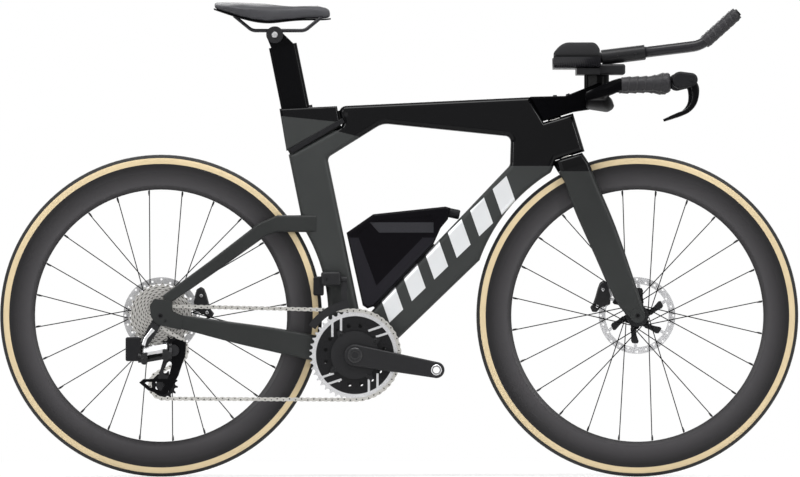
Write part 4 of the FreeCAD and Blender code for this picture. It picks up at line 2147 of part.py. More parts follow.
def make_bracket():
    """Bracket on the riser: a bridge, a cross plate for the arm cups and two clamping sleeves."""
    low = S.riser_top
    bridge = rounded_block(bar_point(S.bracket_depth / 2 - S.bracket_back, 0, low + S.bracket_thickness / 2),
                           S.bracket_depth, S.bracket_width, S.bracket_thickness, S.bracket_rounding)
    plate = block(bar_point(S.wing_plate_depth / 2 - S.bracket_back, 0, low + S.wing_plate_thickness / 2),
                  S.wing_plate_depth, S.wing_plate_width, S.wing_plate_thickness)
    shapes, bores = [plate], []
    for side in (1, -1):
        start, corner, tip = extension_line(side)
        way = (corner - start).normalize()
        first = start + way * (S.sleeve_start - S.extension_back)
        shapes.append(bar(first, first + way * S.sleeve_length, S.sleeve_radius))
        bores.append(bar(start - way * S.extension_straight, start + way * S.extension_straight,
                         S.extension_radius + S.fit_gap))
    return solid_piece("extension_bracket", largest(bridge.fuse(shapes).cut(bores).removeSplitter()))


def trough(side, bottom, thickness, width, height, start, length):
    """Trough for a forearm: an arc of sheet, open at the top, that runs along the bicycle."""
    reach = (width * width / 4 + height * height) / (2 * height)
    centre = bar_point(start, side * S.pad_spacing / 2, bottom + reach)
    way = Vector(1, 0, 0)
    ring = Part.makeCylinder(reach, length, centre, way).cut(
        Part.makeCylinder(reach - thickness, length, centre, way))
    keep = block(centre + Vector(length / 2, 0, height / 2 - reach), length, width, height)
    return ring.common(keep)


def make_arm_rests():
    """Two arm cups on the bracket's cross plate and their pads."""
    cups, pads = [], []
    base = S.riser_top + S.wing_plate_thickness
    for side in (1, -1):
        cups.append(trough(side, base, S.cup_thickness, S.pad_width, S.cup_height, -S.pad_back, S.pad_length))
        foot = block(bar_point(S.wing_plate_depth / 2 - S.bracket_back, side * S.pad_spacing / 2,
                               base + S.cup_thickness / 2), S.wing_plate_depth, S.sleeve_radius,
                     S.cup_thickness)
        cups[-1] = cups[-1].fuse(foot)
        pads.append(trough(side, base + S.cup_thickness + S.soft_gap, S.pad_thickness,
                           S.pad_width - S.cup_thickness, S.pad_height, -S.pad_back, S.pad_length))
    piece(solid_piece("arm_cups", Part.makeCompound(cups)))
    pads = [pad.cut(cups) for pad in pads]
    piece(solid_piece("arm_pads", Part.makeCompound([largest(pad) for pad in pads])))


def make_extensions():
    """Extension bars with taped ends; each carries a shift button in its tip."""
    for side, word in ((1, "left"), (-1, "right")):
        start, corner, tip = extension_line(side)
        way = (tip - corner).normalize()
        rod = round_rod([start, corner, tip], S.extension_radius, S.extension_bend_radius)
        seat_depth = S.button_length - S.button_rise + S.button_stroke
        pocket_start = tip - way * seat_depth
        rod = rod.cut(bar(pocket_start, tip + way * S.cut_overrun, S.button_radius + S.fit_gap))
        first = tip - way * S.taped_length
        tape = bar(first, tip, S.taped_radius).cut(bar(first, tip, S.extension_radius + S.soft_gap))
        piece(solid_piece(f"{word}_extension", Part.makeCompound([rod, tape])))
        base = tip - way * (S.button_length - S.button_rise)
        piece(solid_piece(f"{word}_shift_button", bar(base, tip + way * S.button_rise, S.button_radius)))


make_bar_grips()
make_brake_levers()
piece(make_riser())
piece(make_bracket())
make_arm_rests()
make_extensions()


# Bottle
# Side-view outline from the bottom bracket, in bottle heights
BOTTLE_SHARES = ((-0.083, 1.197), (0.179, 1.380), (0.887, 1.455), (0.934, 1.441), (0.911, 1.329), (0.840,
                                                                                                   1.244),
                 (0.770, 1.089), (0.179, 0.474), (0.123, 0.455), (0.076, 0.484))
BOTTLE_FOOT = 7
SPOUT_PLACE_SHARE = 0.42
BOTTLE_PANEL_SHARES = ((0.02, 1.19), (0.20, 1.315), (0.74, 1.37), (0.77, 1.26), (0.21, 0.68))


def bottle_points(shares):
    """Side-view corners of the bottle, which grows from its foot on the down tube."""
    foot = spot((f"{BRACKET_X} + bottle_foot_ahead", f"{BRACKET_Z} + bottle_foot_rise"))
    first = BOTTLE_SHARES[BOTTLE_FOOT]
    return [(foot.x + (ahead - first[0]) * S.bottle_height, foot.z + (up - first[1]) * S.bottle_height)
            for ahead, up in shares]


def bottle_room():
    """Space for the bottle: ahead of the seat tube and above the down tube, clear of both."""
    ahead = ("seat_tube_front + bottle_gap", "2 * gusset_height")
    above = ("down_tube_half + bottle_gap", "2 * down_tube_length")
    plates = []
    for line, (near, far) in ((seat, ahead), (down, above)):
        corners = [line(near, f"-{far}"), line(near, far), line(far, far), line(far, f"-{far}")]
        plates.append(flat_plate([(value(x), value(z)) for x, z in corners], 0, S.bottle_width))
    return plates[0].common(plates[1])


def make_bottle():
    """Flat bottle that fills the frame's lower corner, its spout cap and the rail that holds it."""
    body = flat_plate(bottle_points(BOTTLE_SHARES), 0, S.bottle_width).common(bottle_room())
    body = body.makeFillet(S.bottle_rounding, side_edge_list(body, 0))
    for sign in (1, -1):
        panel = flat_plate(bottle_points(BOTTLE_PANEL_SHARES), sign * S.bottle_width / 2,
                           2 * S.bottle_panel_depth)
        body = body.cut(panel)
    piece(solid_piece("bottle", body.removeSplitter()))
    first, last = [Vector(place[0], 0, place[1]) for place in bottle_points(BOTTLE_SHARES)[3:5]]
    way = Vector((first - last).z, 0, -(first - last).x).normalize()
    middle = first + (last - first) * SPOUT_PLACE_SHARE + way * S.fit_gap
    cap = bar(middle, middle + way * S.spout_length, S.spout_radius)
    end = middle + way * S.spout_length
    tip = [edge for edge in cap.Edges if (edge.CenterOfMass - end).Length < S.soft_gap]
    piece(solid_piece("bottle_cap", cap.makeFillet(S.spout_radius / 3, tip)))
    low = bottle_points(BOTTLE_SHARES)[7]
    high = bottle_points(BOTTLE_SHARES)[6]
    return low, high



def make_bottle_rail(low, high):
    """Rail on the down tube under the bottle."""
    start, finish = Vector(low[0], 0, low[1]), Vector(high[0], 0, high[1])
    way = (finish - start).normalize()
    under = Vector(way.z, 0, -way.x)
    reach = (finish - start).Length
    rail = Part.makeBox(reach, S.rail_width, 4 * S.bottle_gap,
                        Vector(0, -S.rail_width / 2, 0))
    rail.Placement = FreeCAD.Placement(FreeCAD.Matrix(
        way.x, 0, under.x, start.x + under.x * S.fit_gap, 0, -1, 0, 0,
        way.z, 0, under.z, start.z + under.z * S.fit_gap, 0, 0, 0, 1))
    piece(solid_piece("bottle_rail", largest(seated(rail, MAIN_FRAME))))


make_bottle_rail(*make_bottle())


DOC.recompute()
for thing in DOC.Objects:
    if "Invalid" in thing.State or "Error" in thing.State:
        raise RuntimeError(f"{thing.Label} failed: {thing.State}")
os.makedirs("parts", exist_ok=True)
for thing in PIECES:
    shape = thing.Shape
    if shape.isNull() or not shape.isValid():
        raise RuntimeError(f"{thing.Label} has no valid shape")
    shape.exportStep(f"parts/{thing.Label}.step")
    print(f"{thing.Label}: {len(shape.Solids)} solids, {shape.Volume / 1000:.2f} cm3")
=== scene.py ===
# %% [markdown]
# # Dressing a time trial bike
# A time trial bike is a carbon frame with deep wheels, a low base bar and two
# forearm extensions. Its solids arrive already measured and jointed, so this
# lesson only adds looks: finishes, soft pieces and small hardware.

# %% Load the measured solids
import json
import math
import bmesh
import bpy
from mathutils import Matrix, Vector


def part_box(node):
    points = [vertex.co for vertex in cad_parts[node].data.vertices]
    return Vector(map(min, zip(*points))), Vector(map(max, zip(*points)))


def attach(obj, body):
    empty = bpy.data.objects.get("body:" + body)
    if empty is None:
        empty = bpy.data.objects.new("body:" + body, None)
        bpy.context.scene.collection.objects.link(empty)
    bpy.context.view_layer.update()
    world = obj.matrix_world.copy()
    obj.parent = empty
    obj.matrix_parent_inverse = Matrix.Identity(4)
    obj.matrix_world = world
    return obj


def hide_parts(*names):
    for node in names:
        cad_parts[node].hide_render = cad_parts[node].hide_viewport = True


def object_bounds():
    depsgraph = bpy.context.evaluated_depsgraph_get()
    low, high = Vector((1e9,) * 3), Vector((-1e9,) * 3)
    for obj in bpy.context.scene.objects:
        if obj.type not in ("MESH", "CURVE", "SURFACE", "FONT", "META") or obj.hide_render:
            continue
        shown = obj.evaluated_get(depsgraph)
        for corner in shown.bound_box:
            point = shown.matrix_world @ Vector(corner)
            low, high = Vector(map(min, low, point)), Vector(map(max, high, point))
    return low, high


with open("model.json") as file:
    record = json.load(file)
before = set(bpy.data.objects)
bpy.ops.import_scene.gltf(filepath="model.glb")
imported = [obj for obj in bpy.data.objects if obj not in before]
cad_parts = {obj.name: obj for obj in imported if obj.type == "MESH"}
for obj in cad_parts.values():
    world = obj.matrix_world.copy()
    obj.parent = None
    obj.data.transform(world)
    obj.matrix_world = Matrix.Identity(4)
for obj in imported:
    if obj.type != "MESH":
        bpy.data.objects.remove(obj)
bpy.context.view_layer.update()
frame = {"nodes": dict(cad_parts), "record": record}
nodes = frame["nodes"]
carriers = frame["record"]["behaviour"]["bodies"]
body_of = {node: body for body, members in carriers.items() for node in members}
print("solids", len(nodes), "moving bodies", len(carriers))

# %% [markdown]
# The bike is seen square from its drive side, from far away, so that the two
# wheels look the same size. A long lens does that. It could be an orthographic
# camera, but a real lens keeps a trace of depth in the bar and the cranks.

# %% Camera
LENS_LENGTH, SENSOR_WIDTH = 646.8, 36
CAMERA_PLACE = (0.0017, -30.0, 0.497)
lens = bpy.data.cameras.new("side_view")
lens.lens = LENS_LENGTH
lens.sensor_width = SENSOR_WIDTH
camera = bpy.data.objects.new("side_view", lens)
camera.location = CAMERA_PLACE
camera.rotation_euler = (math.radians(90), 0, 0)
bpy.context.collection.objects.link(camera)
bpy.context.scene.camera = camera
bpy.context.scene.view_settings.view_transform = "Standard"
print("camera", tuple(round(v, 3) for v in camera.location))

# %% [markdown]
# A studio picture on white has a pale floor that runs out of sight and large
# soft lamps. The floor is a plain sheet whose colour is nearly white. Near
# the bike it takes the shadow, and further out it fades to pure white for the
# eye, so that no horizon shows. The world is white to the eye and in
# reflections, and a quiet grey as light.

# %% Floor
FLOOR_REACH, FLOOR_DROP = 40.0, 0.0005
FLOOR_FADE = {"From Min": 0.7, "From Max": 2.2, "To Min": 0.55, "To Max": 1.0}


def wire(tree, *pairs):
    for source, target in pairs:
        tree.links.new(source, target)


corners = [(x * FLOOR_REACH, y * FLOOR_REACH, 0) for x, y in ((-1, -1), (1, -1), (1, 1), (-1, 1))]
floor_mesh = bpy.data.meshes.new("floor")
floor_mesh.from_pydata(corners, [], [(0, 1, 2, 3)])
floor = bpy.data.objects.new("floor", floor_mesh)
floor.location.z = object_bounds()[0][2] - FLOOR_DROP
bpy.context.collection.objects.link(floor)
pale = bpy.data.materials.new("pale_floor")
pale.use_nodes = True
sheet = pale.node_tree
matt = sheet.nodes["Principled BSDF"]
matt.inputs["Base Color"].default_value = (0.92, 0.92, 0.92, 1)
matt.inputs["Roughness"].default_value = 0.9
matt.inputs["Specular IOR Level"].default_value = 0.1
white, spot, span, fade, view, share, cover = (sheet.nodes.new(f"ShaderNode{kind}") for kind in (
    "Emission", "TexCoord", "VectorMath", "MapRange", "LightPath", "Math", "MixShader"))
span.operation = "LENGTH"
share.operation = "MULTIPLY"
fade.interpolation_type = "SMOOTHSTEP"
for label, value in FLOOR_FADE.items():
    fade.inputs[label].default_value = value
wire(sheet, (spot.outputs["Object"], span.inputs[0]), (span.outputs["Value"], fade.inputs["Value"]),
     (fade.outputs["Result"], share.inputs[0]), (view.outputs["Is Camera Ray"], share.inputs[1]),
     (share.outputs[0], cover.inputs["Fac"]), (matt.outputs[0], cover.inputs[1]),
     (white.outputs[0], cover.inputs[2]),
     (cover.outputs[0], sheet.nodes["Material Output"].inputs["Surface"]))
floor_mesh.materials.append(pale)
print("floor at", round(floor.location.z, 4))

# %% World and lamps
SEEN_STRENGTH, LIGHT_STRENGTH = 1.0, 0.27
world = bpy.data.worlds.new("white_room")
bpy.context.scene.world = world
world.use_nodes = True
sky = world.node_tree
sky.nodes.clear()
ray, either, any_ray, seen, lit, blend, out = (sky.nodes.new(f"ShaderNode{kind}") for kind in (
    "LightPath", "Math", "Math", "Background", "Background", "MixShader", "OutputWorld"))
either.operation = any_ray.operation = "MAXIMUM"
for glow, strength in ((seen, SEEN_STRENGTH), (lit, LIGHT_STRENGTH)):
    glow.inputs["Strength"].default_value = strength
    glow.inputs["Color"].default_value = (1, 1, 1, 1)
wire(sky, (ray.outputs["Is Camera Ray"], either.inputs[0]),
     (ray.outputs["Is Glossy Ray"], either.inputs[1]),
     (either.outputs[0], any_ray.inputs[0]), (ray.outputs["Is Transmission Ray"], any_ray.inputs[1]),
     (any_ray.outputs[0], blend.inputs["Fac"]), (lit.outputs[0], blend.inputs[1]),
     (seen.outputs[0], blend.inputs[2]), (blend.outputs[0], out.inputs["Surface"]))


def soft_lamp(name, place, aim, size, power):
    lamp = bpy.data.lights.new(name, "AREA")
    lamp.shape = "RECTANGLE"
    lamp.size, lamp.size_y = size
    lamp.energy = power
    holder = bpy.data.objects.new(name, lamp)
    holder.location = place
    holder.rotation_euler = (Vector(aim) - Vector(place)).to_track_quat("-Z", "Y").to_euler()
    bpy.context.collection.objects.link(holder)


soft_lamp("overhead_lamp", (0.0, -1.2, 3.4), (0, 0, 0.5), (3.4, 1.2), 125)
soft_lamp("front_lamp", (3.0, -2.4, 1.8), (0.2, 0, 0.5), (0.6, 2.2), 60)
soft_lamp("tail_lamp", (-3.0, -2.4, 1.8), (-0.2, 0, 0.5), (0.6, 2.2), 60)
soft_lamp("back_lamp", (0.0, 3.0, 2.4), (0, 0, 0.5), (3.0, 1.2), 60)

# %% [markdown]
# Nothing on a bike is one flat colour. Paint has a little orange peel, metal
# has turning marks and plastic has a moulded grain. Each of these is a small
# node group that puts out values which vary over the surface, so that many
# finishes can share it with their own sizes.

# %% Tools for node groups


def new_group(name, inputs, outputs):
    tree = bpy.data.node_groups.new(name, "ShaderNodeTree")
    for label, start in inputs:
        socket = tree.interface.new_socket(label, in_out="INPUT", socket_type="NodeSocketFloat")
        socket.default_value = start
    for label in outputs:
        tree.interface.new_socket(label, in_out="OUTPUT", socket_type="NodeSocketFloat")
    return tree, tree.nodes.new("NodeGroupInput").outputs, tree.nodes.new("NodeGroupOutput").inputs


def feed(tree, socket, source):
    if isinstance(source, bpy.types.NodeSocket):
        tree.links.new(source, socket)
    else:
        socket.default_value = source


def math_node(tree, operation, *values):
    node = tree.nodes.new("ShaderNodeMath")
    node.operation = operation
    for socket, source in zip(node.inputs, values):
        feed(tree, socket, source)
    return node.outputs[0]


def plus(tree, first, second):
    return math_node(tree, "ADD", first, second)


def less(tree, first, second):
    return math_node(tree, "SUBTRACT", first, second)


def times(tree, first, *others):
    for other in others:
        first = math_node(tree, "MULTIPLY", first, other)
    return first


def step(tree, value, low, high, start=0.0, end=1.0):
    node = tree.nodes.new("ShaderNodeMapRange")
    labels = ("Value", "From Min", "From Max", "To Min", "To Max")
    for label, source in zip(labels, (value, low, high, start, end)):
        feed(tree, node.inputs[label], source)
    return node.outputs["Result"]


def past(tree, value, level, width=0.0006):
    return step(tree, value, level, level + width)


def where(tree):
    coordinate = tree.nodes.new("ShaderNodeTexCoord").outputs["Object"]
    split = tree.nodes.new("ShaderNodeSeparateXYZ")
    tree.links.new(coordinate, split.inputs[0])
    return coordinate, *split.outputs


# %% Fine grain: the peel of paint, the mould skin of plastic
GRAIN_SIZES = [("Scale", 900.0), ("Cloud Scale", 9.0)]
fine_grain, taken, given = new_group("fine_grain", GRAIN_SIZES, ["Grain", "Cloud"])
coordinate, *_ = where(fine_grain)
for label, size in (("Grain", "Scale"), ("Cloud", "Cloud Scale")):
    noise = fine_grain.nodes.new("ShaderNodeTexNoise")
    noise.inputs["Detail"].default_value = 3
    wire(fine_grain, (coordinate, noise.inputs["Vector"]), (taken[size], noise.inputs["Scale"]),
         (noise.outputs["Fac"], given[label]))
print("group", fine_grain.name)

# %% About an axle: how far a point is from a wheel's centre, and its bearing
CENTRE = [("Centre X", 0.0), ("Centre Z", 0.3)]
about_axle, taken, given = new_group("about_axle", CENTRE, ["Radius", "Angle"])
_, x, y, z = where(about_axle)
dx, dz = less(about_axle, x, taken["Centre X"]), less(about_axle, z, taken["Centre Z"])
squares = plus(about_axle, times(about_axle, dx, dx), times(about_axle, dz, dz))
wire(about_axle, (math_node(about_axle, "SQRT", squares), given["Radius"]),
     (math_node(about_axle, "ARCTAN2", dz, dx), given["Angle"]))
print("group", about_axle.name)

# %% Twill: the slanted weave of carbon cloth
twill, taken, given = new_group("twill", [("Pitch", 0.002)], ["Weave", "Sheen Band"])
_, x, y, z = where(twill)
slanted = plus(twill, x, times(twill, y, 0.6))
across, along = (math_node(twill, "DIVIDE", value, taken["Pitch"]) for value in (slanted, z))
over = math_node(twill, "PINGPONG", plus(twill, across, math_node(twill, "FLOOR", along)), 2.0)
crown = math_node(twill, "PINGPONG", along, 0.5)
wire(twill, (times(twill, over, crown), given["Weave"]), (step(twill, over, 0.9, 1.1), given["Sheen Band"]))
print("group", twill.name)

# %% [markdown]
# A finish is one Principled surface with these groups in its sockets. The
# plain part is a function: two close tones that drift over the surface, a
# roughness that wanders with the grain, and a shallow bump. Values that stay
# the same all over are set on the shader itself.

# %% A finish with grain


def use_group(tree, group, **sizes):
    node = tree.nodes.new("ShaderNodeGroup")
    node.node_tree = group
    for label, value in sizes.items():
        feed(tree, node.inputs[label.replace("_", " ")], value)
    return node.outputs


def mixed(tree, mask, first, second):
    node = tree.nodes.new("ShaderNodeMix")
    node.data_type = "RGBA"
    feed(tree, node.inputs["Factor"], mask)
    for socket, colour in ((node.inputs[6], first), (node.inputs[7], second)):
        feed(tree, socket, (*colour, 1) if isinstance(colour, tuple) else colour)
    return node.outputs[2]


def bump(tree, sockets, height, depth):
    node = tree.nodes.new("ShaderNodeBump")
    node.inputs["Distance"].default_value = depth
    wire(tree, (height, node.inputs["Height"]), (node.outputs["Normal"], sockets["Normal"]))


def opened(material):
    tree = material.node_tree
    return tree, tree.nodes["Principled BSDF"].inputs


def fed(sockets, label):
    return sockets[label].links[0].from_socket


def finish(name, dark, light, rough, scale=900.0, depth=0.00002, metallic=0.0, specular=0.5):
    material = bpy.data.materials.new(name)
    material.use_nodes = True
    material.diffuse_color = (*light, 1)
    tree, sockets = opened(material)
    sockets["Metallic"].default_value = metallic
    sockets["Specular IOR Level"].default_value = specular
    grain = use_group(tree, fine_grain, Scale=scale)
    wire(tree, (mixed(tree, grain["Cloud"], dark, light), sockets["Base Color"]),
         (step(tree, grain["Grain"], 0.3, 0.7, *rough), sockets["Roughness"]))
    bump(tree, sockets, grain["Grain"], depth)
    return material


gloss_black = finish("gloss_black", (0.0012, 0.0012, 0.0016), (0.0022, 0.0022, 0.0026), (0.2, 0.28),
                     specular=0.06)
black_alloy = finish("black_alloy", (0.009, 0.009, 0.010), (0.015, 0.015, 0.016), (0.32, 0.44), 1600,
                     specular=0.16)
black_plastic = finish("black_plastic", (0.007, 0.007, 0.008), (0.010, 0.010, 0.011), (0.42, 0.58), 1400,
                       0.00005, specular=0.10)
silver_alloy = finish("silver_alloy", (0.50, 0.50, 0.51), (0.60, 0.60, 0.61), (0.26, 0.38), 1500,
                      metallic=1.0)
steel = finish("steel", (0.42, 0.41, 0.39), (0.55, 0.54, 0.51), (0.26, 0.4), 1200, metallic=1.0)
bar_black = finish("bar_black", (0.0012, 0.0012, 0.0016), (0.002, 0.002, 0.0024), (0.3, 0.4),
                   specular=0.012)
cap_black = finish("cap_black", (0.006, 0.006, 0.007), (0.010, 0.010, 0.011), (0.16, 0.24), 1500)
spoke_black = finish("spoke_black", (0.002, 0.002, 0.0024), (0.004, 0.004, 0.0045), (0.28, 0.4), 1500,
                     specular=0.03)
print("finishes", len(bpy.data.materials))

# %% [markdown]
# Carbon shows its weave under clear lacquer where it isn't painted: on the
# cranks, the cups and the extensions. The weave sets two near blacks and a
# slight change of gloss from tow to tow. The rims have a smooth outer ply.

# %% Woven carbon


def woven(name, pitch, dark, light, rough, specular):
    material = finish(name, dark, light, rough, specular=specular)
    tree, sockets = opened(material)
    weave = use_group(tree, twill, Pitch=pitch)
    wire(tree, (mixed(tree, weave["Sheen Band"], dark, light), sockets["Base Color"]),
         (step(tree, weave["Weave"], 0.0, 1.0, *rough), sockets["Roughness"]))
    return material


carbon = woven("carbon", dark=(0.012, 0.012, 0.014), light=(0.016, 0.0155, 0.0178), rough=(0.22, 0.34),
               pitch=0.0012, specular=0.2)
print("woven", carbon.name)

# %% [markdown]
# The frame is satin charcoal with gloss black over the top tube and the head.
# The two paints meet along straight lines, so plain arithmetic on the place
# of a point tells them apart. On the down tube a row of slanted silver bars,
# in the same satin silver on both sides, breaks up the long dark surface.

# %% Frame paint with two tones
SATIN_DARK, SATIN_LIGHT = (0.023, 0.0245, 0.0242), (0.034, 0.036, 0.0355)
GLOSS, SILVER = (0.0018, 0.0018, 0.0022), (0.62, 0.63, 0.64)
BAR_FOOT, BAR_AIM = Vector((-0.03, 0.348)), Vector((0.282, 0.271)).normalized()
BAR_PITCH, BAR_RUN, BAR_HALF = 0.065, 0.39, 0.026
BAR_LEAN, BAR_SHARE, BAR_EDGE = 0.45, 0.62, 0.0005


def silver_bars(tree, x, z):
    dx, dz = less(tree, x, BAR_FOOT.x), less(tree, z, BAR_FOOT.y)
    along = plus(tree, times(tree, dx, BAR_AIM.x), times(tree, dz, BAR_AIM.y))
    across = less(tree, times(tree, dz, BAR_AIM.x), times(tree, dx, BAR_AIM.y))
    lean = less(tree, along, times(tree, across, BAR_LEAN))
    beat = math_node(tree, "FRACT", math_node(tree, "DIVIDE", lean, BAR_PITCH))
    return times(tree, past(tree, beat, BAR_SHARE, -0.01), past(tree, lean, 0.0, BAR_EDGE),
                 past(tree, lean, BAR_RUN, -BAR_EDGE),
                 past(tree, math_node(tree, "ABSOLUTE", across), BAR_HALF, -BAR_EDGE))


def two_tone(name, level, fall=0.0, gloss_from=0.0, bars=False, depth=1.0):
    satin = [tuple(v * depth for v in tone) for tone in (SATIN_DARK, SATIN_LIGHT)]
    material = finish(name, *satin, (0.34, 0.46), 1100, specular=0.13)
    tree, sockets = opened(material)
    _, x, y, z = where(tree)
    lean = plus(tree, z, times(tree, x, fall))
    gloss = times(tree, past(tree, lean, level), past(tree, z, gloss_from))
    tone = mixed(tree, gloss, fed(sockets, "Base Color"), GLOSS)
    rough = step(tree, gloss, 0.0, 1.0, fed(sockets, "Roughness"), 0.1)
    if bars:
        stripe = silver_bars(tree, x, z)
        tone = mixed(tree, stripe, tone, SILVER)
        tree.links.new(step(tree, stripe, 0.0, 1.0, 0.0, 0.7), sockets["Metallic"])
    wire(tree, (tone, sockets["Base Color"]), (rough, sockets["Roughness"]))
    return material


frame_paint = two_tone("frame_paint", level=0.686, fall=0.27, gloss_from=0.648, bars=True)
fork_paint = two_tone("fork_paint", level=0.637, depth=0.8)
stay_paint = two_tone("stay_paint", level=0.9, depth=0.68)
mast_paint = two_tone("mast_paint", level=0.7271, fall=0.1008)
print("paints", frame_paint.name, fork_paint.name, stay_paint.name, mast_paint.name)

# %% [markdown]
# The tyre is a black tread on a tan casing. Its colour changes only with the
# distance from the axle, and the casing shows its slanted threads. The disc
# rotors, rings and cassette use the same distance for their turning marks.

# %% Tyres
AXLES = {"front": Vector((0.497, 0, 0.336)), "rear": Vector((-0.497, 0, 0.336))}
BRACKET = Vector((-0.0922, 0, 0.254))
TREAD_RADIUS, BAND_RADIUS = 0.3285, 0.3165
TAN, TAN_LIGHT, RUBBER = (0.47, 0.375, 0.225), (0.56, 0.455, 0.285), (0.012, 0.012, 0.012)
THREADS, THREAD_SLANT = 420.0, 1500.0


def axle_values(tree, centre):
    return use_group(tree, about_axle, Centre_X=centre.x, Centre_Z=centre.z)


def swirl(tree, axle, turns, twist):
    slant = plus(tree, times(tree, axle["Angle"], turns), times(tree, axle["Radius"], twist))
    return math_node(tree, "SINE", slant)


def tyre_finish(name, centre):
    material = finish(name, TAN, TAN_LIGHT, (0.55, 0.7), 700, specular=0.25)
    tree, sockets = opened(material)
    axle = axle_values(tree, centre)
    tread = past(tree, axle["Radius"], TREAD_RADIUS, 0.0005)
    bead = step(tree, axle["Radius"], BAND_RADIUS + 0.0006, BAND_RADIUS)
    dark = math_node(tree, "MAXIMUM", tread, bead)
    tree.links.new(mixed(tree, dark, fed(sockets, "Base Color"), RUBBER), sockets["Base Color"])
    bump(tree, sockets, swirl(tree, axle, THREADS, THREAD_SLANT), 0.00005)
    return material


tyre_finishes = {word: tyre_finish(f"{word}_tyre_rubber", axle) for word, axle in AXLES.items()}
print("tyres", list(tyre_finishes))

# %% Rims: dark at the tyre, with a painted sheen lighter towards the spokes
RIM_DARK, RIM_LIGHT = (0.0105, 0.0100, 0.0107), (0.0150, 0.0144, 0.0152)
RIM_PAINTED_SHEEN, SHEEN_SHARE = (0.068, 0.065, 0.069), 0.6
SHEEN_IN, SHEEN_OUT = (0.262, 0.274), (0.310, 0.276)


def rim_finish(name, centre):
    material = finish(name, RIM_DARK, RIM_LIGHT, (0.3, 0.4), 700, specular=0.14)
    tree, sockets = opened(material)
    radius = axle_values(tree, centre)["Radius"]
    # The lighter band near the spoke edge is painted sheen: a reflection put into the rim's colour.
    painted_sheen = times(tree, step(tree, radius, *SHEEN_IN), step(tree, radius, *SHEEN_OUT), SHEEN_SHARE)
    tree.links.new(mixed(tree, painted_sheen, fed(sockets, "Base Color"), RIM_PAINTED_SHEEN), sockets["Base Color"])
    return material


rim_finishes = {word: rim_finish(f"{word}_rim_carbon", axle) for word, axle in AXLES.items()}
print("rims", list(rim_finishes))

# %% Turned metal: silver with a black centre, and painted shade on the cassette
# POCKET_SHADE is painted shade: it darkens the cassette's pockets and the gaps between sprockets.
BLACK_COAT, POCKET_SHADE = (0.008, 0.008, 0.0088), (0.09, 0.085, 0.08)
LOBES, LOBE_SLANT, MARK_RATE = 24.0, 700.0, 9000.0


def turned(name, centre, black_to, silver=(0.5, 0.5, 0.51), shade_pitch=0.0):
    bright = tuple(min(1.0, v * 1.25) for v in silver)
    material = finish(name, silver, bright, (0.22, 0.34), 1300, metallic=1.0, specular=0.12)
    tree, sockets = opened(material)
    axle = axle_values(tree, centre)
    radius = axle["Radius"]
    black = past(tree, radius, black_to, -0.0004)
    tone = fed(sockets, "Base Color")
    # On the cassette, the pockets in each sprocket and a thin ring between sprockets are darkened as
    # painted shade.
    if shade_pitch:
        beat = math_node(tree, "FRACT", math_node(tree, "DIVIDE", radius, shade_pitch))
        lobes = swirl(tree, axle, LOBES, LOBE_SLANT)
        shaded_pocket = times(tree, step(tree, lobes, 0.1, 0.5), step(tree, beat, 0.5, 0.6))
        shaded_groove = math_node(tree, "MAXIMUM", shaded_pocket, step(tree, beat, 0.12, 0.06))
        tone = mixed(tree, shaded_groove, tone, POCKET_SHADE)
    wire(tree, (mixed(tree, black, tone, BLACK_COAT), sockets["Base Color"]),
         (step(tree, black, 0.0, 1.0, 1.0, 0.0), sockets["Metallic"]))
    bump(tree, sockets, math_node(tree, "SINE", times(tree, radius, MARK_RATE)), 0.000012)
    return material


rotor_finishes = {word: turned(f"{word}_rotor_steel", axle, black_to=0.052) for word, axle in AXLES.items()}
cassette_steel = turned("cassette_steel", AXLES["rear"], black_to=0.0, silver=(0.46, 0.45, 0.43),
                        shade_pitch=0.0046)
ring_alloy = turned("ring_alloy", BRACKET, black_to=0.0815)
print("turned", list(rotor_finishes), cassette_steel.name, ring_alloy.name)

# %% Moulded and covered finishes
saddle_cover = finish("saddle_cover", (0.030, 0.030, 0.034), (0.042, 0.042, 0.046), (0.44, 0.58), 1800,
                      0.00008, specular=0.25)
pad_cloth = finish("pad_cloth", (0.012, 0.012, 0.013), (0.019, 0.019, 0.020), (0.6, 0.8), 2200, 0.00012,
                   specular=0.16)
bar_tape = finish("bar_tape", (0.009, 0.0087, 0.0102), (0.02, 0.019, 0.0215), (0.42, 0.6), 1500, 0.0002,
                  specular=0.25)

# %% [markdown]
# The bottle is moulded in two tones: a black top and a dark grey lower half
# round a black sunken panel, with a finely dimpled patch under the lid.

# %% Bottle
LID_LEVEL, PANEL_DEPTH = 0.4985, 0.0249
PATCH_BACK, PATCH_FRONT, PATCH_FOOT, PATCH_TOP = -0.042, 0.072, 0.509, 0.531
PATCH_SLANT, DOT_RATE, EDGE = 0.9, 2400.0, 0.0006


def bottle_finish():
    material = finish("bottle_plastic", (0.0095, 0.009, 0.0115), (0.014, 0.0135, 0.0165), (0.3, 0.4), 1200,
                      0.00004, specular=0.05)
    tree, sockets = opened(material)
    _, x, y, z = where(tree)
    sunk = past(tree, math_node(tree, "ABSOLUTE", y), PANEL_DEPTH, -0.0003)
    black = math_node(tree, "MAXIMUM", past(tree, z, LID_LEVEL), sunk)
    tone = mixed(tree, black, fed(sockets, "Base Color"), (0.0022, 0.0019, 0.0028))
    slant = plus(tree, x, times(tree, less(tree, z, PATCH_FOOT), PATCH_SLANT))
    patch = times(tree, past(tree, slant, PATCH_BACK, EDGE), past(tree, x, PATCH_FRONT, -EDGE),
                  past(tree, z, PATCH_FOOT, EDGE), past(tree, z, PATCH_TOP, -EDGE))
    dots = times(tree, *(math_node(tree, "SINE", times(tree, value, DOT_RATE)) for value in (x, z)))
    light = mixed(tree, step(tree, dots, 0.1, 0.3), (0.032, 0.032, 0.036), (0.012, 0.012, 0.014))
    tree.links.new(mixed(tree, patch, tone, light), sockets["Base Color"])
    return material


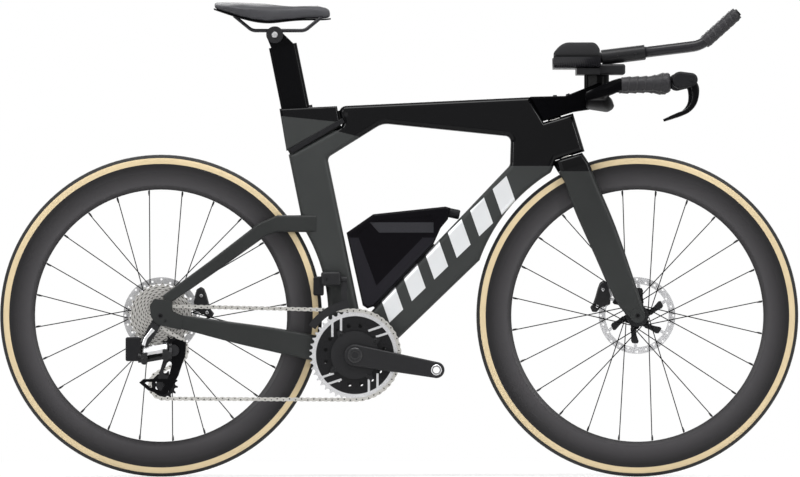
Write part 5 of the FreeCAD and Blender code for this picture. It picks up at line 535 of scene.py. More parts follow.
bottle_plastic = bottle_finish()
print("finishes", len(bpy.data.materials))

# %% [markdown]
# The saddle cover and the forearm pads are foam under a skin. A solid with
# sharp faces can't look soft, so each one is copied, given even faces, drawn
# in a little and then blown up again as cloth with pressure inside. Faces
# that rest on a shell or a cup are held, so the pad stays seated there.

# %% Tools for soft pieces
from mathutils.bvhtree import BVHTree

skin_trees = {}


def skin_of(node):
    if node not in skin_trees:
        mesh = nodes[node].data
        skin_trees[node] = BVHTree.FromPolygons([v.co for v in mesh.vertices],
                                                [p.vertices for p in mesh.polygons])
    return skin_trees[node]


def baked(piece):
    result = bpy.data.meshes.new_from_object(piece.evaluated_get(bpy.context.evaluated_depsgraph_get()))
    piece.modifiers.clear()
    piece.data = result
    return piece


def fresh(name, mesh):
    piece = bpy.data.objects.new(name, mesh)
    bpy.context.collection.objects.link(piece)
    return piece


def merged_copy(name, node):
    shell = bmesh.new()
    shell.from_mesh(nodes[node].data)
    bmesh.ops.remove_doubles(shell, verts=shell.verts, dist=0.00002)
    mesh = bpy.data.meshes.new(name)
    shell.to_mesh(mesh)
    shell.free()
    return fresh(name, mesh)


def dress(piece, material, slot, body, *stands_for):
    piece.data.materials.append(material)
    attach(piece, body)
    for node in stands_for:
        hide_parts(node)


# %% Swell a shrunken copy like a stuffed cover
HELD_WITHIN, FREE_AFTER = 0.002, 0.010
DRAWN_IN, SWELL_CAP = 0.0018, 0.005
PRESSURE, CLOTH_FRAMES = 4, 20


def stuffed(name, node, held_by, voxel, smoothing):
    piece = merged_copy(name, node)
    even = piece.modifiers.new("even_faces", "REMESH")
    even.mode = "VOXEL"
    even.voxel_size = voxel
    baked(piece)
    held = piece.vertex_groups.new(name="held")
    gaps = [skin_of(held_by).find_nearest(vertex.co)[3] for vertex in piece.data.vertices]
    freedom = [min(1.0, max(0.0, (gap - HELD_WITHIN) / FREE_AFTER)) for gap in gaps]
    starts = [v.co - v.normal * DRAWN_IN * free for v, free in zip(piece.data.vertices, freedom)]
    for vertex, start, free in zip(piece.data.vertices, starts, freedom):
        vertex.co = start
        held.add([vertex.index], 1.0 - free, "REPLACE")
    cloth = piece.modifiers.new("stuffing", "CLOTH")
    cloth.settings.use_pressure = True
    cloth.settings.uniform_pressure_force = PRESSURE
    cloth.settings.effector_weights.gravity = 0
    cloth.settings.vertex_group_mass = "held"
    cloth.point_cache.frame_end = CLOTH_FRAMES
    for number in range(1, CLOTH_FRAMES + 1):
        bpy.context.scene.frame_set(number)
    baked(piece)
    bpy.context.scene.frame_set(1)
    for vertex, start, free in zip(piece.data.vertices, starts, freedom):
        move = vertex.co - start
        vertex.co = start + move * min(1.0, SWELL_CAP * free / max(move.length, 1e-9))
    settle = piece.modifiers.new("settle", "SMOOTH")
    settle.factor = 0.5
    settle.iterations = smoothing
    rounding = piece.modifiers.new("rounding", "SUBSURF")
    rounding.levels = rounding.render_levels = 1
    baked(piece)
    piece.data.shade_smooth()
    return piece


# %% [markdown]
# A saddle for this riding place has a shallow channel along its middle. It is
# pressed into the finished skin, deepest at mid length and fading to both
# ends and sides.

# %% Saddle skin
CHANNEL_HALF, CHANNEL_DEPTH = 0.015, 0.0042
CHANNEL_START, CHANNEL_RUN = 0.12, 0.76
saddle_skin = stuffed("saddle_skin", "saddle_pad", "saddle_shell", voxel=0.005, smoothing=8)
low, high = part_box("saddle_pad")
for vertex in saddle_skin.data.vertices:
    along = (vertex.co.x - low[0]) / (high[0] - low[0])
    share = min(1.0, max(0.0, (along - CHANNEL_START) / CHANNEL_RUN))
    fade = max(0.0, math.sin(math.pi * share))
    across = max(0.0, 1.0 - (vertex.co.y / CHANNEL_HALF) ** 2)
    if vertex.normal.z > 0.5:
        vertex.co.z -= CHANNEL_DEPTH * across * across * fade ** 0.5
dress(saddle_skin, saddle_cover, "saddle_cover", body_of["saddle_pad"], "saddle_pad")
print("saddle skin faces", len(saddle_skin.data.polygons))

# %% [markdown]
# A forearm pad is cut so that its walls fall away to both ends, with a full
# curve at the front and a longer slope behind. The walls above the cup are
# lowered along that curve, and the part that lies in the cup stays.

# %% Forearm pads
TAIL_SHARE, NOSE_SHARE = 0.34, 0.20
forearm_pads = stuffed("forearm_pads", "arm_pads", "arm_cups", voxel=0.0045, smoothing=6)
low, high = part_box("arm_pads")
cup_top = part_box("arm_cups")[1][2] - 0.004
for vertex in forearm_pads.data.vertices:
    along = (vertex.co.x - low[0]) / (high[0] - low[0])
    tail, nose = max(0.0, 1 - along / TAIL_SHARE), max(0.0, (along - 1 + NOSE_SHARE) / NOSE_SHARE)
    wall = max(0.0, 1 - tail ** 2.2 * 0.62 - nose ** 2.6 * 0.55)
    if vertex.co.z > cup_top:
        vertex.co.z = cup_top + (vertex.co.z - cup_top) * wall
dress(forearm_pads, pad_cloth, "pad_foam", body_of["arm_pads"], "arm_pads")
print("forearm pad faces", len(forearm_pads.data.polygons))

# %% [markdown]
# Handlebar tape is a long strip wound round the bar with each turn lying a
# little over the last. Seen close, that is a saw profile that climbs like a
# screw thread. The outside of the measured sleeve is felt with rays from
# outside, and each point is raised by its place on the strip. It could be a
# bump in the material, but then the outline would stay a smooth cylinder.

# %% Wind tape on a sleeve
RINGS, COLUMNS = 110, 56
LAP, RIPPLE, FEEL_FROM = 0.82, 0.00018, 0.06


def sewn(rings, columns):
    faces = []
    for ring in range(rings - 1):
        near, far = ring * columns, (ring + 1) * columns
        for column in range(columns):
            after = (column + 1) % columns
            faces.append((near + column, near + after, far + after, far + column))
    return faces


def wound_tape(node, first, last, pitch, lift, bore, hand):
    axis = (last - first).normalized()
    side = axis.cross(Vector((0, 0, 1))).normalized()
    up = side.cross(axis)
    length = (last - first).length
    angles = [2 * math.pi * column / COLUMNS for column in range(COLUMNS)]
    ways = [side * math.cos(angle) + up * math.sin(angle) for angle in angles]
    points = []
    for ring in range(RINGS + 1):
        along = min(max(ring / RINGS, 0.004), 0.996)
        centre = first + axis * length * along
        end = min(1.0, 12 * min(along, 1 - along))
        for column, (angle, way) in enumerate(zip(angles, ways)):
            felt = skin_of(node).ray_cast(centre + way * FEEL_FROM, -way)[0]
            turn = (length * along / pitch + hand * column / COLUMNS) % 1.0
            ridge = lift * min(turn / LAP, (1 - turn) / (1 - LAP)) * end
            ripple = RIPPLE * math.sin(7 * angle + 3 * turn) * math.sin(41 * along + 2 * angle)
            points.append(centre + way * ((felt - centre).length - 0.5 * lift + ridge + ripple * end))
    for end in (last, first):
        points += [end + way * bore for way in ways]
    inside = (RINGS + 2) * COLUMNS
    faces = sewn(RINGS + 3, COLUMNS)
    faces += [(inside + c, inside + (c + 1) % COLUMNS, (c + 1) % COLUMNS, c) for c in range(COLUMNS)]
    return points, faces


def joined_mesh(name, shells):
    points, faces = [], []
    for some_points, some_faces in shells:
        faces += [tuple(index + len(points) for index in face) for face in some_faces]
        points += some_points
    mesh = bpy.data.meshes.new(name)
    mesh.from_pydata(points, [], faces)
    shell = bmesh.new()
    shell.from_mesh(mesh)
    bmesh.ops.recalc_face_normals(shell, faces=shell.faces)
    shell.to_mesh(mesh)
    shell.free()
    mesh.shade_smooth()
    return fresh(name, mesh)


# %% Bar grips
GRIP_MIDDLE, GRIP_INSET = 0.2, 0.0025
ABOVE, BELOW = (1.2, -1), (0.5, 1)
low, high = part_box("bar_grips")
shells = []
for hand in (1, -1):
    ends = []
    for x in (low[0] + GRIP_INSET, high[0] - GRIP_INSET):
        starts = [(Vector((x, hand * GRIP_MIDDLE, z)), Vector((0, 0, way))) for z, way in (ABOVE, BELOW)]
        top, under = (skin_of("bar_grips").ray_cast(*start)[0] for start in starts)
        ends.append((top + under) / 2)
    shells.append(wound_tape("bar_grips", *ends, pitch=0.017, lift=0.0016, bore=0.0138, hand=hand))
grip_tape = joined_mesh("grip_tape", shells)
dress(grip_tape, bar_tape, "tape", body_of["bar_grips"], "bar_grips")
print("grip tape faces", len(grip_tape.data.polygons))

# %% [markdown]
# Each extension is a bare carbon bar with tape on its upturned end. In the
# measured model the bar and the tape are two solids under one name, so both
# are dressed here: the bar is copied as it is and the tape is wound anew.

# %% Extensions with taped ends
TAPED_LENGTH = 0.0915
BEND_X, BEND_Z, TIP_X, TIP_Z, EXTENSION_Y = 0.630354, 0.900234, 0.704668, 0.967147, 0.048


def loose_parts(mesh):
    leader = list(range(len(mesh.vertices)))

    def root(index):
        while leader[index] != index:
            leader[index] = leader[leader[index]]
            index = leader[index]
        return index

    for edge in mesh.edges:
        a, b = (root(v) for v in edge.vertices)
        if a != b:
            leader[a] = b
    parts = {}
    for face in mesh.polygons:
        parts.setdefault(root(face.vertices[0]), []).append(face.index)
    return list(parts.values())


def part_copy(name, piece, keep):
    shell = bmesh.new()
    shell.from_mesh(piece.data)
    shell.faces.ensure_lookup_table()
    keep = set(keep)
    bmesh.ops.delete(shell, geom=[f for f in shell.faces if f.index not in keep], context="FACES")
    mesh = bpy.data.meshes.new(name)
    shell.to_mesh(mesh)
    shell.free()
    return mesh


for word, side in (("left", 1), ("right", -1)):
    node = f"{word}_extension"
    bar = merged_copy(f"{word}_extension_bar", node)
    parts = loose_parts(bar.data)
    spans = []
    for part in parts:
        xs = [bar.data.vertices[v].co.x for index in part for v in bar.data.polygons[index].vertices]
        spans.append(max(xs) - min(xs))
    bar.data = part_copy(bar.name, bar, parts[spans.index(max(spans))])
    bar.data.set_sharp_from_angle(angle=math.radians(35))
    bend, tip = (Vector((x, side * EXTENSION_Y, z)) for x, z in ((BEND_X, BEND_Z), (TIP_X, TIP_Z)))
    start = tip - (tip - bend).normalized() * TAPED_LENGTH
    wound = wound_tape(node, start, tip, pitch=0.015, lift=0.0015, bore=0.0113, hand=side)
    tape = joined_mesh(f"{word}_extension_tape", [wound])
    dress(bar, carbon, "carbon", body_of[node], node)
    dress(tape, bar_tape, "tape", body_of[node])
    print(word, "extension parts", len(parts), "tape faces", len(tape.data.polygons))

# %% [markdown]
# Screws, spoke nipples, rivets and rotor bolts are the same small shape set
# down many times. One Geometry Nodes tree does that for all of them: it puts
# a copy of a shape on every point, turned to the point's own direction and
# scaled to its own size. Copying by hand would work too, but a tree keeps the
# list of places apart from the shape.

# %% Tree: copies on points
copies = bpy.data.node_groups.new("copies_on_points", "GeometryNodeTree")
for label, kind in (("Points", "Geometry"), ("Shape", "Object"), ("Finish", "Material")):
    copies.interface.new_socket(label, in_out="INPUT", socket_type=f"NodeSocket{kind}")
copies.interface.new_socket("Copies", in_out="OUTPUT", socket_type="NodeSocketGeometry")
entry = copies.nodes.new("NodeGroupInput").outputs
exit_ = copies.nodes.new("NodeGroupOutput").inputs
shape, aim, size, spread, real, coat = (copies.nodes.new(f"GeometryNode{kind}") for kind in (
    "ObjectInfo", "InputNamedAttribute", "InputNamedAttribute", "InstanceOnPoints", "RealizeInstances",
    "SetMaterial"))
for node, label, kind in ((aim, "aim", "FLOAT_VECTOR"), (size, "size", "FLOAT")):
    node.data_type = kind
    node.inputs["Name"].default_value = label
turn = copies.nodes.new("FunctionNodeAlignRotationToVector")
turn.axis = "Z"
wire(copies, (entry["Shape"], shape.inputs["Object"]), (aim.outputs["Attribute"], turn.inputs["Vector"]),
     (entry["Points"], spread.inputs["Points"]), (shape.outputs["Geometry"], spread.inputs["Instance"]),
     (turn.outputs["Rotation"], spread.inputs["Rotation"]),
     (size.outputs["Attribute"], spread.inputs["Scale"]),
     (spread.outputs["Instances"], real.inputs["Geometry"]),
     (real.outputs["Geometry"], coat.inputs["Geometry"]), (entry["Finish"], coat.inputs["Material"]),
     (coat.outputs["Geometry"], exit_["Copies"]))
socket_name = {item.name: item.identifier for item in copies.interface.items_tree if item.in_out == "INPUT"}
print("tree", copies.name, list(socket_name))

# %% Set copies down on one body


def set_down(name, body, shape, coating, places):
    spots, ways, sizes = zip(*places)
    mesh = bpy.data.meshes.new(name)
    mesh.from_pydata(spots, [], [])
    aims = mesh.attributes.new("aim", "FLOAT_VECTOR", "POINT")
    aims.data.foreach_set("vector", [v for way in ways for v in way])
    grades = mesh.attributes.new("size", "FLOAT", "POINT")
    grades.data.foreach_set("value", sizes)
    piece = fresh(name, mesh)
    modifier = piece.modifiers.new("copies", "NODES")
    modifier.node_group = copies
    modifier[socket_name["Shape"]] = shape
    modifier[socket_name["Finish"]] = coating
    baked(piece)
    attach(piece, body)
    print(name, len(places), "copies", len(piece.data.polygons), "faces")
    return piece


# %% [markdown]
# A screw head is a short round drum with a broken edge and a six-sided
# socket. A nipple is a drum that narrows to the spoke. Both are made as a
# stack of rings, which is a handy way to draw any turned shape.

# %% Small turned shapes


def stack_of_rings(name, rings, sides=12, closed=True):
    points = []
    for level, radius, corners in rings:
        for number in range(sides):
            angle = 2 * math.pi * number / sides
            reach = radius
            if corners:
                wedge = 2 * math.pi / corners
                reach = radius * math.cos(wedge / 2) / math.cos((angle % wedge) - wedge / 2)
            points.append((reach * math.cos(angle), reach * math.sin(angle), level))
    faces = sewn(len(rings), sides)
    if closed:
        faces += [tuple(range(len(points) - sides, len(points))), tuple(reversed(range(sides)))]
    mesh = bpy.data.meshes.new(name)
    mesh.from_pydata(points, [], faces)
    mesh.shade_smooth()
    mesh.set_sharp_from_angle(angle=math.radians(30))
    return bpy.data.objects.new(name, mesh)


screw_head = stack_of_rings("screw_head", [(-0.6, 1.0, 0), (0.45, 1.0, 0), (0.6, 0.86, 0), (0.6, 0.58, 6),
                                           (0.05, 0.55, 6)])
button_head = stack_of_rings("button_head", [(-0.3, 1.0, 0), (0.12, 1.0, 0), (0.34, 0.8, 0), (0.42, 0.5, 0),
                                             (0.42, 0.42, 6), (0.05, 0.4, 6)])
nipple = stack_of_rings("nipple", [(-1.5, 1.0, 0), (1.6, 1.0, 0), (2.2, 0.75, 0), (3.6, 0.62, 0)], 8)
rivet = stack_of_rings("rivet", [(-0.3, 1.0, 0), (0.36, 1.0, 0), (0.44, 0.8, 0)], 8)
eye_ring = stack_of_rings("eye_ring", [(-0.06, 1.0, 0), (0.06, 1.0, 0), (0.1, 0.95, 0), (0.1, 0.78, 0),
                                       (-0.06, 0.73, 0), (-0.06, 1.0, 0)], 28, closed=False)
spindle_cap = stack_of_rings("spindle_cap", [(-0.05, 1.0, 0), (0.1, 1.0, 0), (0.16, 0.93, 0),
                                             (0.16, 0.72, 0), (0.02, 0.66, 0), (0.02, 0.44, 0),
                                             (-0.04, 0.42, 6)], 24)
print("shapes", [s.name for s in (screw_head, button_head, nipple, rivet, eye_ring, spindle_cap)])

# %% [markdown]
# Each spoke is one loose solid, so its outer end is the point farthest from
# the axle, and its direction runs back to the point nearest to it. A nipple
# sits there, half inside the rim.

# %% Spoke nipples
NIPPLE_INSET, NIPPLE_RADIUS = 0.004, 0.0021


def loose_points(node):
    copy = merged_copy("scratch", node)
    groups = []
    for part in loose_parts(copy.data):
        used = {v for index in part for v in copy.data.polygons[index].vertices}
        groups.append([copy.data.vertices[v].co.copy() for v in used])
    mesh = copy.data
    bpy.data.objects.remove(copy)
    bpy.data.meshes.remove(mesh)
    return groups


def flat_distance(point, centre):
    return math.hypot(point.x - centre.x, point.z - centre.z)


for word, axle in AXLES.items():
    places = []
    for spoke in loose_points(f"{word}_spokes"):
        ordered = sorted(spoke, key=lambda point: flat_distance(point, axle))
        few = max(3, len(ordered) // 8)
        inner = sum(ordered[:few], Vector()) / few
        outer = sum(ordered[-few:], Vector()) / few
        way = (inner - outer).normalized()
        places.append((outer + way * NIPPLE_INSET, way, NIPPLE_RADIUS))
    set_down(f"{word}_nipples", body_of[f"{word}_spokes"], nipple, black_alloy, places)

# %% [markdown]
# The chain is made of links, and every pin shows as a small riveted end on
# both outer plates. The outer plates are flat solids one pitch long, so their
# two ends are where the pins go through.

# %% Chain rivets
HALF_PITCH, RIVET_RADIUS, PLATE_THICK = 0.00635, 0.0016, 0.003
plates = []
for plate in loose_points("chain"):
    low, high = ([pick(p[axis] for p in plate) for axis in range(3)] for pick in (min, max))
    if high[1] - low[1] < PLATE_THICK:
        middle = Vector([(a + b) / 2 for a, b in zip(low, high)])
        far = max(plate, key=lambda point: flat_distance(point, middle))
        plates.append((middle, Vector((far.x - middle.x, 0, far.z - middle.z)).normalized()))
places = []
for middle, along in plates:
    partner = min(plates, key=lambda other: flat_distance(other[0], middle) + (other[0] is middle))[0]
    way = (0, -1 if middle.y < partner.y else 1, 0)
    places += [(middle + along * HALF_PITCH * sign, way, RIVET_RADIUS) for sign in (1, -1)]
set_down("chain_rivets", body_of["chain"], rivet, black_alloy, places)

# %% [markdown]
# Screws belong where the real ones hold something: at lever pins, clamps,
# calipers and the chainring. A ray from outside finds the surface, so every
# head sits flat on the solid that carries it, whatever that solid's shape.

# %% Find places on the skin
TO_LEFT, TO_RIGHT = (0, 1, 0), (0, -1, 0)
OUTSIDE = 0.3
CALIPER_SCREW, SCREW_INSET = 0.0042, 0.012
CRANK_ANGLE = math.radians(-10.3)
RIGHT_EYE = Vector((0.0775, 0, 0.2232))
LEVER_PINS = {"left": Vector((0.605, 0.2, 0.8264)), "right": Vector((0.605, -0.2, 0.8264))}


def on_skin(node, start, way, radius):
    place, normal, *_ = skin_of(node).ray_cast(Vector(start), Vector(way))
    return (place, normal, radius) if place else None


def found(places):
    kept = [place for place in places if place]
    print("places found", len(kept), "of", len(places))
    return kept


def around(centre, radius, angle, depth):
    return centre + Vector((radius * math.cos(angle), depth, radius * math.sin(angle)))


def caliper_screws(node):
    low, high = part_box(node)
    return [on_skin(node, ((low[0] + high[0]) / 2, OUTSIDE, z), TO_RIGHT, CALIPER_SCREW)
            for z in (low[2] + SCREW_INSET, high[2] - SCREW_INSET)]


# %% Screws on the steering and the frame
LEVER_SCREW, BRACKET_SCREW, STEM_SCREW, HANGER_SCREW, BODY_SCREW = 0.0034, 0.0028, 0.0042, 0.0022, 0.0032
BRACKET_X, STEM_X, HANGER_X, HANGER_Z = (0.455, 0.492), (0.325, 0.352), -0.4867, 0.3262
pin = LEVER_PINS["left"]
screws = [on_skin("lever_bodies", (pin.x, OUTSIDE * s, pin.z), (0, -s, 0), LEVER_SCREW) for s in (1, -1)]
screws += [on_skin("lever_bodies", (pin.x, 0.1 * s, pin.z), (0, s, 0), LEVER_SCREW) for s in (1, -1)]
bracket_line = [(x, 0.8665 + 0.123 * (x - 0.38)) for x in BRACKET_X]
screws += [on_skin("extension_bracket", (x, OUTSIDE * s, z), (0, -s, 0), BRACKET_SCREW)
           for s in (1, -1) for x, z in bracket_line]
screws += [on_skin("base_bar", (x, 0, 1.0), (0, 0, -1), STEM_SCREW) for x in STEM_X]
screws += caliper_screws("front_caliper")
set_down("steering_screws", "steering", screw_head, black_alloy, found(screws))
screws = caliper_screws("rear_caliper")
screws += [on_skin("rear_stays", (HANGER_X, -OUTSIDE, HANGER_Z), TO_LEFT, HANGER_SCREW)]
low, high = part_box("front_derailleur_body")
screws += [on_skin("front_derailleur_body", (x, -OUTSIDE, (low[2] + high[2]) / 2), TO_LEFT, BODY_SCREW)
           for x in (low[0] + SCREW_INSET, high[0] - 0.010)]
set_down("frame_screws", "frame", screw_head, black_alloy, found(screws))

# %% Screws on the moving parts
ROTOR_BOLT_CIRCLE, RING_BOLT_CIRCLE = 0.0205, 0.052
CLAMP_X, CLAMP_Z, PULLEY_PLACES = -0.2597, 0.9219, ((-0.47, 0.264), (-0.4912, 0.1921))
CLAMP_BOLT, ROTOR_BOLT, PULLEY_BOLT, RING_BOLT = 0.0065, 0.0036, 0.0042, 0.0042
bolts = [on_skin("rail_clamp", (CLAMP_X, OUTSIDE * s, CLAMP_Z), (0, -s, 0), CLAMP_BOLT) for s in (1, -1)]
set_down("clamp_bolts", body_of["rail_clamp"], button_head, silver_alloy, found(bolts))
for word, axle in AXLES.items():
    node = f"{word}_rotor"
    bolts = [on_skin(node, around(axle, ROTOR_BOLT_CIRCLE, math.pi * n / 3, OUTSIDE), TO_RIGHT, ROTOR_BOLT)
             for n in range(6)]
    set_down(f"{word}_rotor_screws", body_of[node], button_head, black_alloy, found(bolts))
bolts = [on_skin("derailleur_cage", (x, -OUTSIDE, z), TO_LEFT, PULLEY_BOLT) for x, z in PULLEY_PLACES]
set_down("pulley_bolts", body_of["derailleur_cage"], button_head, black_alloy, found(bolts))
bearings = [CRANK_ANGLE + math.pi * (2 * n + 1) / 4 for n in range(4)]
bolts = [on_skin("right_crank", around(BRACKET, RING_BOLT_CIRCLE, a, -OUTSIDE), TO_LEFT, RING_BOLT)
         for a in bearings]
set_down("ring_bolts", "crankset", button_head, black_alloy, found(bolts))

# %% [markdown]
# The crank shows a ringed cap on its spindle and a bright washer in each
# pedal eye. Bright struts run in pairs from the spider to the ring's rim, one
# pair upright and one pair leaning, each with its twin across the spindle.

# %% Crank cap and pedal eyes
CAP_RADIUS, WASHER_RADIUS = 0.0155, 0.0112
caps = [on_skin("right_crank", BRACKET + Vector((0, -OUTSIDE, 0)), TO_LEFT, CAP_RADIUS),
        on_skin("left_crank", BRACKET + Vector((0, OUTSIDE, 0)), TO_RIGHT, CAP_RADIUS)]
set_down("spindle_caps", "crankset", spindle_cap, cap_black, found(caps))
face_of_right, face_of_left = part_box("right_crank")[0][1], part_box("left_crank")[1][1]
left_eye = 2 * BRACKET - RIGHT_EYE
eyes = [(Vector((RIGHT_EYE.x, face_of_right, RIGHT_EYE.z)), TO_RIGHT, WASHER_RADIUS),
        (Vector((left_eye.x, face_of_left, left_eye.z)), TO_LEFT, WASHER_RADIUS)]
set_down("pedal_washers", "crankset", eye_ring, silver_alloy, eyes)

# %% Ring struts
STRUTS = (((-0.047, 0.038), (-0.047, 0.070)), ((-0.029, 0.050), (-0.029, 0.079)),
          ((0.028, 0.0505), (0.060, 0.0615)), ((0.044, 0.038), (0.072, 0.0472)))
STRUT_WIDTH, STRUT_RISE, STRUT_SINK = 0.0046, 0.0014, 0.0004


def outline_block(corners, near, far):
    count = len(corners)
    points = [Vector((x, depth, z)) for depth in (near, far) for x, z in corners]
    faces = [tuple(range(count)), tuple(reversed(range(count, 2 * count)))]
    faces += [(n, count + n, count + (n + 1) % count, (n + 1) % count) for n in range(count)]
    return points, faces


def broken_edges(piece, width):
    edge = piece.modifiers.new("broken_edges", "BEVEL")
    edge.width = width
    edge.segments = 2
    baked(piece)
    piece.data.shade_flat()
    return piece


ring_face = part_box("outer_chainring")[0][1]
shells = []
for foot, head in STRUTS:
    for sign in (1, -1):
        first, last = (BRACKET + Vector((sign * x, 0, sign * z)) for x, z in (foot, head))
        across = Vector((last.z - first.z, 0, first.x - last.x)).normalized() * STRUT_WIDTH / 2
        spots = (first - across, first + across, last + across, last - across)
        corners = [(spot.x, spot.z) for spot in spots]
        shells.append(outline_block(corners, ring_face + STRUT_SINK, ring_face - STRUT_RISE))
ring_struts = broken_edges(joined_mesh("ring_struts", shells), width=0.0004)
dress(ring_struts, silver_alloy, "silver_alloy", "crankset")
print("ring struts", len(shells))

# %% [markdown]
# The rear derailleur hangs on a bright forged arm. A strip follows the arm's
# line on the face of the measured body, feeling its height with rays.

# %% Derailleur arm
ARM_LINE = ((-0.5118, 0.3082, 0.0085), (-0.5200, 0.2985, 0.0066), (-0.5275, 0.2890, 0.0064),
            (-0.5316, 0.2760, 0.0068), (-0.5332, 0.2620, 0.0074), (-0.5345, 0.2480, 0.0055))
ARM_SECTION = ((0.001, 1.0), (-0.0012, 1.0), (-0.0018, 0.7), (-0.0018, -0.7), (-0.0012, -1.0),
               (0.001, -1.0))


def closed_run(rings, columns):
    last = (rings - 1) * columns
    return sewn(rings, columns) + [tuple(range(columns)), tuple(range(last, last + columns))]


points = []
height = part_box("rear_derailleur_base")[0][1]
for number, (x, z, width) in enumerate(ARM_LINE):
    felt = on_skin("rear_derailleur_base", (x, -OUTSIDE, z), TO_LEFT, width)
    height = felt[0].y if felt else height
    before, after = ARM_LINE[max(number - 1, 0)], ARM_LINE[min(number + 1, len(ARM_LINE) - 1)]
    across = Vector((after[1] - before[1], 0, before[0] - after[0])).normalized() * width / 2
    points += [Vector((x, height + depth, z)) + across * share for depth, share in ARM_SECTION]
print("arm rests at", round(height, 4))
arm_shell = points, closed_run(len(ARM_LINE), len(ARM_SECTION))
derailleur_arm = joined_mesh("derailleur_arm", [arm_shell])
derailleur_arm.data.set_sharp_from_angle(angle=math.radians(40))
dress(derailleur_arm, silver_alloy, "silver_alloy", body_of["rear_derailleur_base"])

# %% [markdown]
# A disc brake caliper is two forged halves that clasp the rotor, joined by a
# bridge outside its rim. Each half is a flat outline given depth and broken
# edges. The outline leans, and its foot reaches out away from the axle.

# %% Brake calipers
HALF_OUTLINE = ((0.34, 0.18), (0.59, 0.11), (0.73, 0.0), (0.91, 0.01), (1.0, 0.16), (0.88, 0.27),
                (0.79, 0.47), (0.68, 0.77), (0.59, 0.94), (0.45, 1.0), (0.27, 0.92), (0.12, 0.55),
                (0.16, 0.25))
BRIDGE_OUTLINE = ((0.67, 0.08), (0.90, 0.04), (0.96, 0.16), (0.84, 0.29), (0.75, 0.48), (0.65, 0.72),
                  (0.53, 0.70), (0.59, 0.36))
BOLT_SPOTS = ((0.73, 0.15), (0.46, 0.74))
INNER_SHRINK, ROTOR_GAP, BRIDGE_INSET = 0.9, 0.0016, 0.002
BOLT_RADIUS, BOLT_SINK = 0.0036, 0.0002


def in_box(low, high, outline, away, shrink=1.0):
    result = []
    for u, v in outline:
        u, v = 0.5 + (u - 0.5) * shrink * away, 0.5 + (v - 0.5) * shrink
        result.append((low[0] + u * (high[0] - low[0]), low[2] + v * (high[2] - low[2])))
    return result


for word, axle in AXLES.items():
    node = f"{word}_caliper"
    low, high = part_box(node)
    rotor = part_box(f"{word}_rotor")
    away = 1 if (low[0] + high[0]) / 2 > axle.x else -1
    outer, bridge = (in_box(low, high, line, away) for line in (HALF_OUTLINE, BRIDGE_OUTLINE))
    inner, spots = (in_box(low, high, line, away, INNER_SHRINK) for line in (HALF_OUTLINE, BOLT_SPOTS))
    shells = [outline_block(outer, rotor[1][1] + ROTOR_GAP, high[1]),
              outline_block(inner, low[1], rotor[0][1] - ROTOR_GAP),
              outline_block(bridge, low[1] + BRIDGE_INSET, high[1] - BRIDGE_INSET)]
    caliper = broken_edges(joined_mesh(f"{word}_caliper_halves", shells), width=0.0014)
    dress(caliper, black_alloy, "black_alloy", body_of[node], node)
    print(node, "halves", len(caliper.data.polygons), "faces")
    bolts = [(Vector((x, low[1] + BOLT_SINK, z)), TO_RIGHT, BOLT_RADIUS) for x, z in spots]
    set_down(f"{word}_caliper_bolts", body_of[node], button_head, silver_alloy, bolts)

# %% [markdown]
# The middle of each disc rotor is a black forged spider. Its arms lean with
# the measured arms, so rays along the axle find where those are at several
# radii, and a wider arm is laid over each one.

# %% Rotor spiders
ARM_STEPS = ((0.021, 0.016), (0.030, 0.012), (0.040, 0.0115), (0.048, 0.014), (0.053, 0.0165),
             (0.058, 0.012))
SPIDER_RISE, CLEAR_RADIUS, FEELERS = 0.0007, 0.044, 720


def arm_bearings(node, axle, radius):
    starts = [around(axle, radius, 2 * math.pi * n / FEELERS, OUTSIDE) for n in range(FEELERS)]
    hits = [on_skin(node, start, TO_RIGHT, radius) is not None for start in starts]
    if all(hits):
        return []
    bearings, run = [], []
    first = hits.index(False)
    for number in range(first, first + FEELERS + 1):
        if hits[number % FEELERS]:
            run.append(number)
        elif run:
            bearings.append(math.pi * (run[0] + run[-1]) / FEELERS)
            run = []
    return bearings


def arm_outline(node, axle, bearing):
    sides = {1: [], -1: []}
    for radius, width in ARM_STEPS:
        near = arm_bearings(node, axle, radius)
        turns = [((b - bearing + math.pi) % (2 * math.pi)) - math.pi for b in near]
        angle = bearing + min(turns, key=abs) if turns else bearing
        out = Vector((math.cos(angle), 0, math.sin(angle)))
        for sign, row in sides.items():
            row.append(axle + out * radius + Vector((-out.z, 0, out.x)) * sign * width / 2)
    return [(spot.x, spot.z) for spot in sides[1] + sides[-1][::-1]]


for word, axle in AXLES.items():
    node = f"{word}_rotor"
    low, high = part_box(node)
    shells = [outline_block(arm_outline(node, axle, bearing), low[1] - SPIDER_RISE, high[1] + SPIDER_RISE)
              for bearing in arm_bearings(node, axle, CLEAR_RADIUS)]
    spider = broken_edges(joined_mesh(f"{word}_rotor_spider", shells), width=0.0005)
    dress(spider, black_alloy, "black_alloy", body_of[node])
    print(node, "arms", len(shells))

# %% [markdown]
# A through axle is a tube with a six-sided socket inside its open end. The
# sockets sit a little way in, so the ends look dark, as they do on the bike.

# %% Axle sockets
SOCKET_DEPTH, SOCKET_RADIUS = 0.006, 0.00345
for word, axle in AXLES.items():
    node = f"{word}_thru_axle"
    low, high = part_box(node)
    ends = [(Vector((axle.x, low[1] + SOCKET_DEPTH, axle.z)), TO_RIGHT, SOCKET_RADIUS),
            (Vector((axle.x, high[1] - SOCKET_DEPTH, axle.z)), TO_LEFT, SOCKET_RADIUS)]
    set_down(f"{word}_axle_sockets", body_of[node], screw_head, black_alloy, ends)

# %% [markdown]
# The brake blades are slim curved castings. A smooth line through the
# measured blade's own corners carries a rounded section that narrows to the
# finger end. Straight facets between the corners would look like sheet metal.

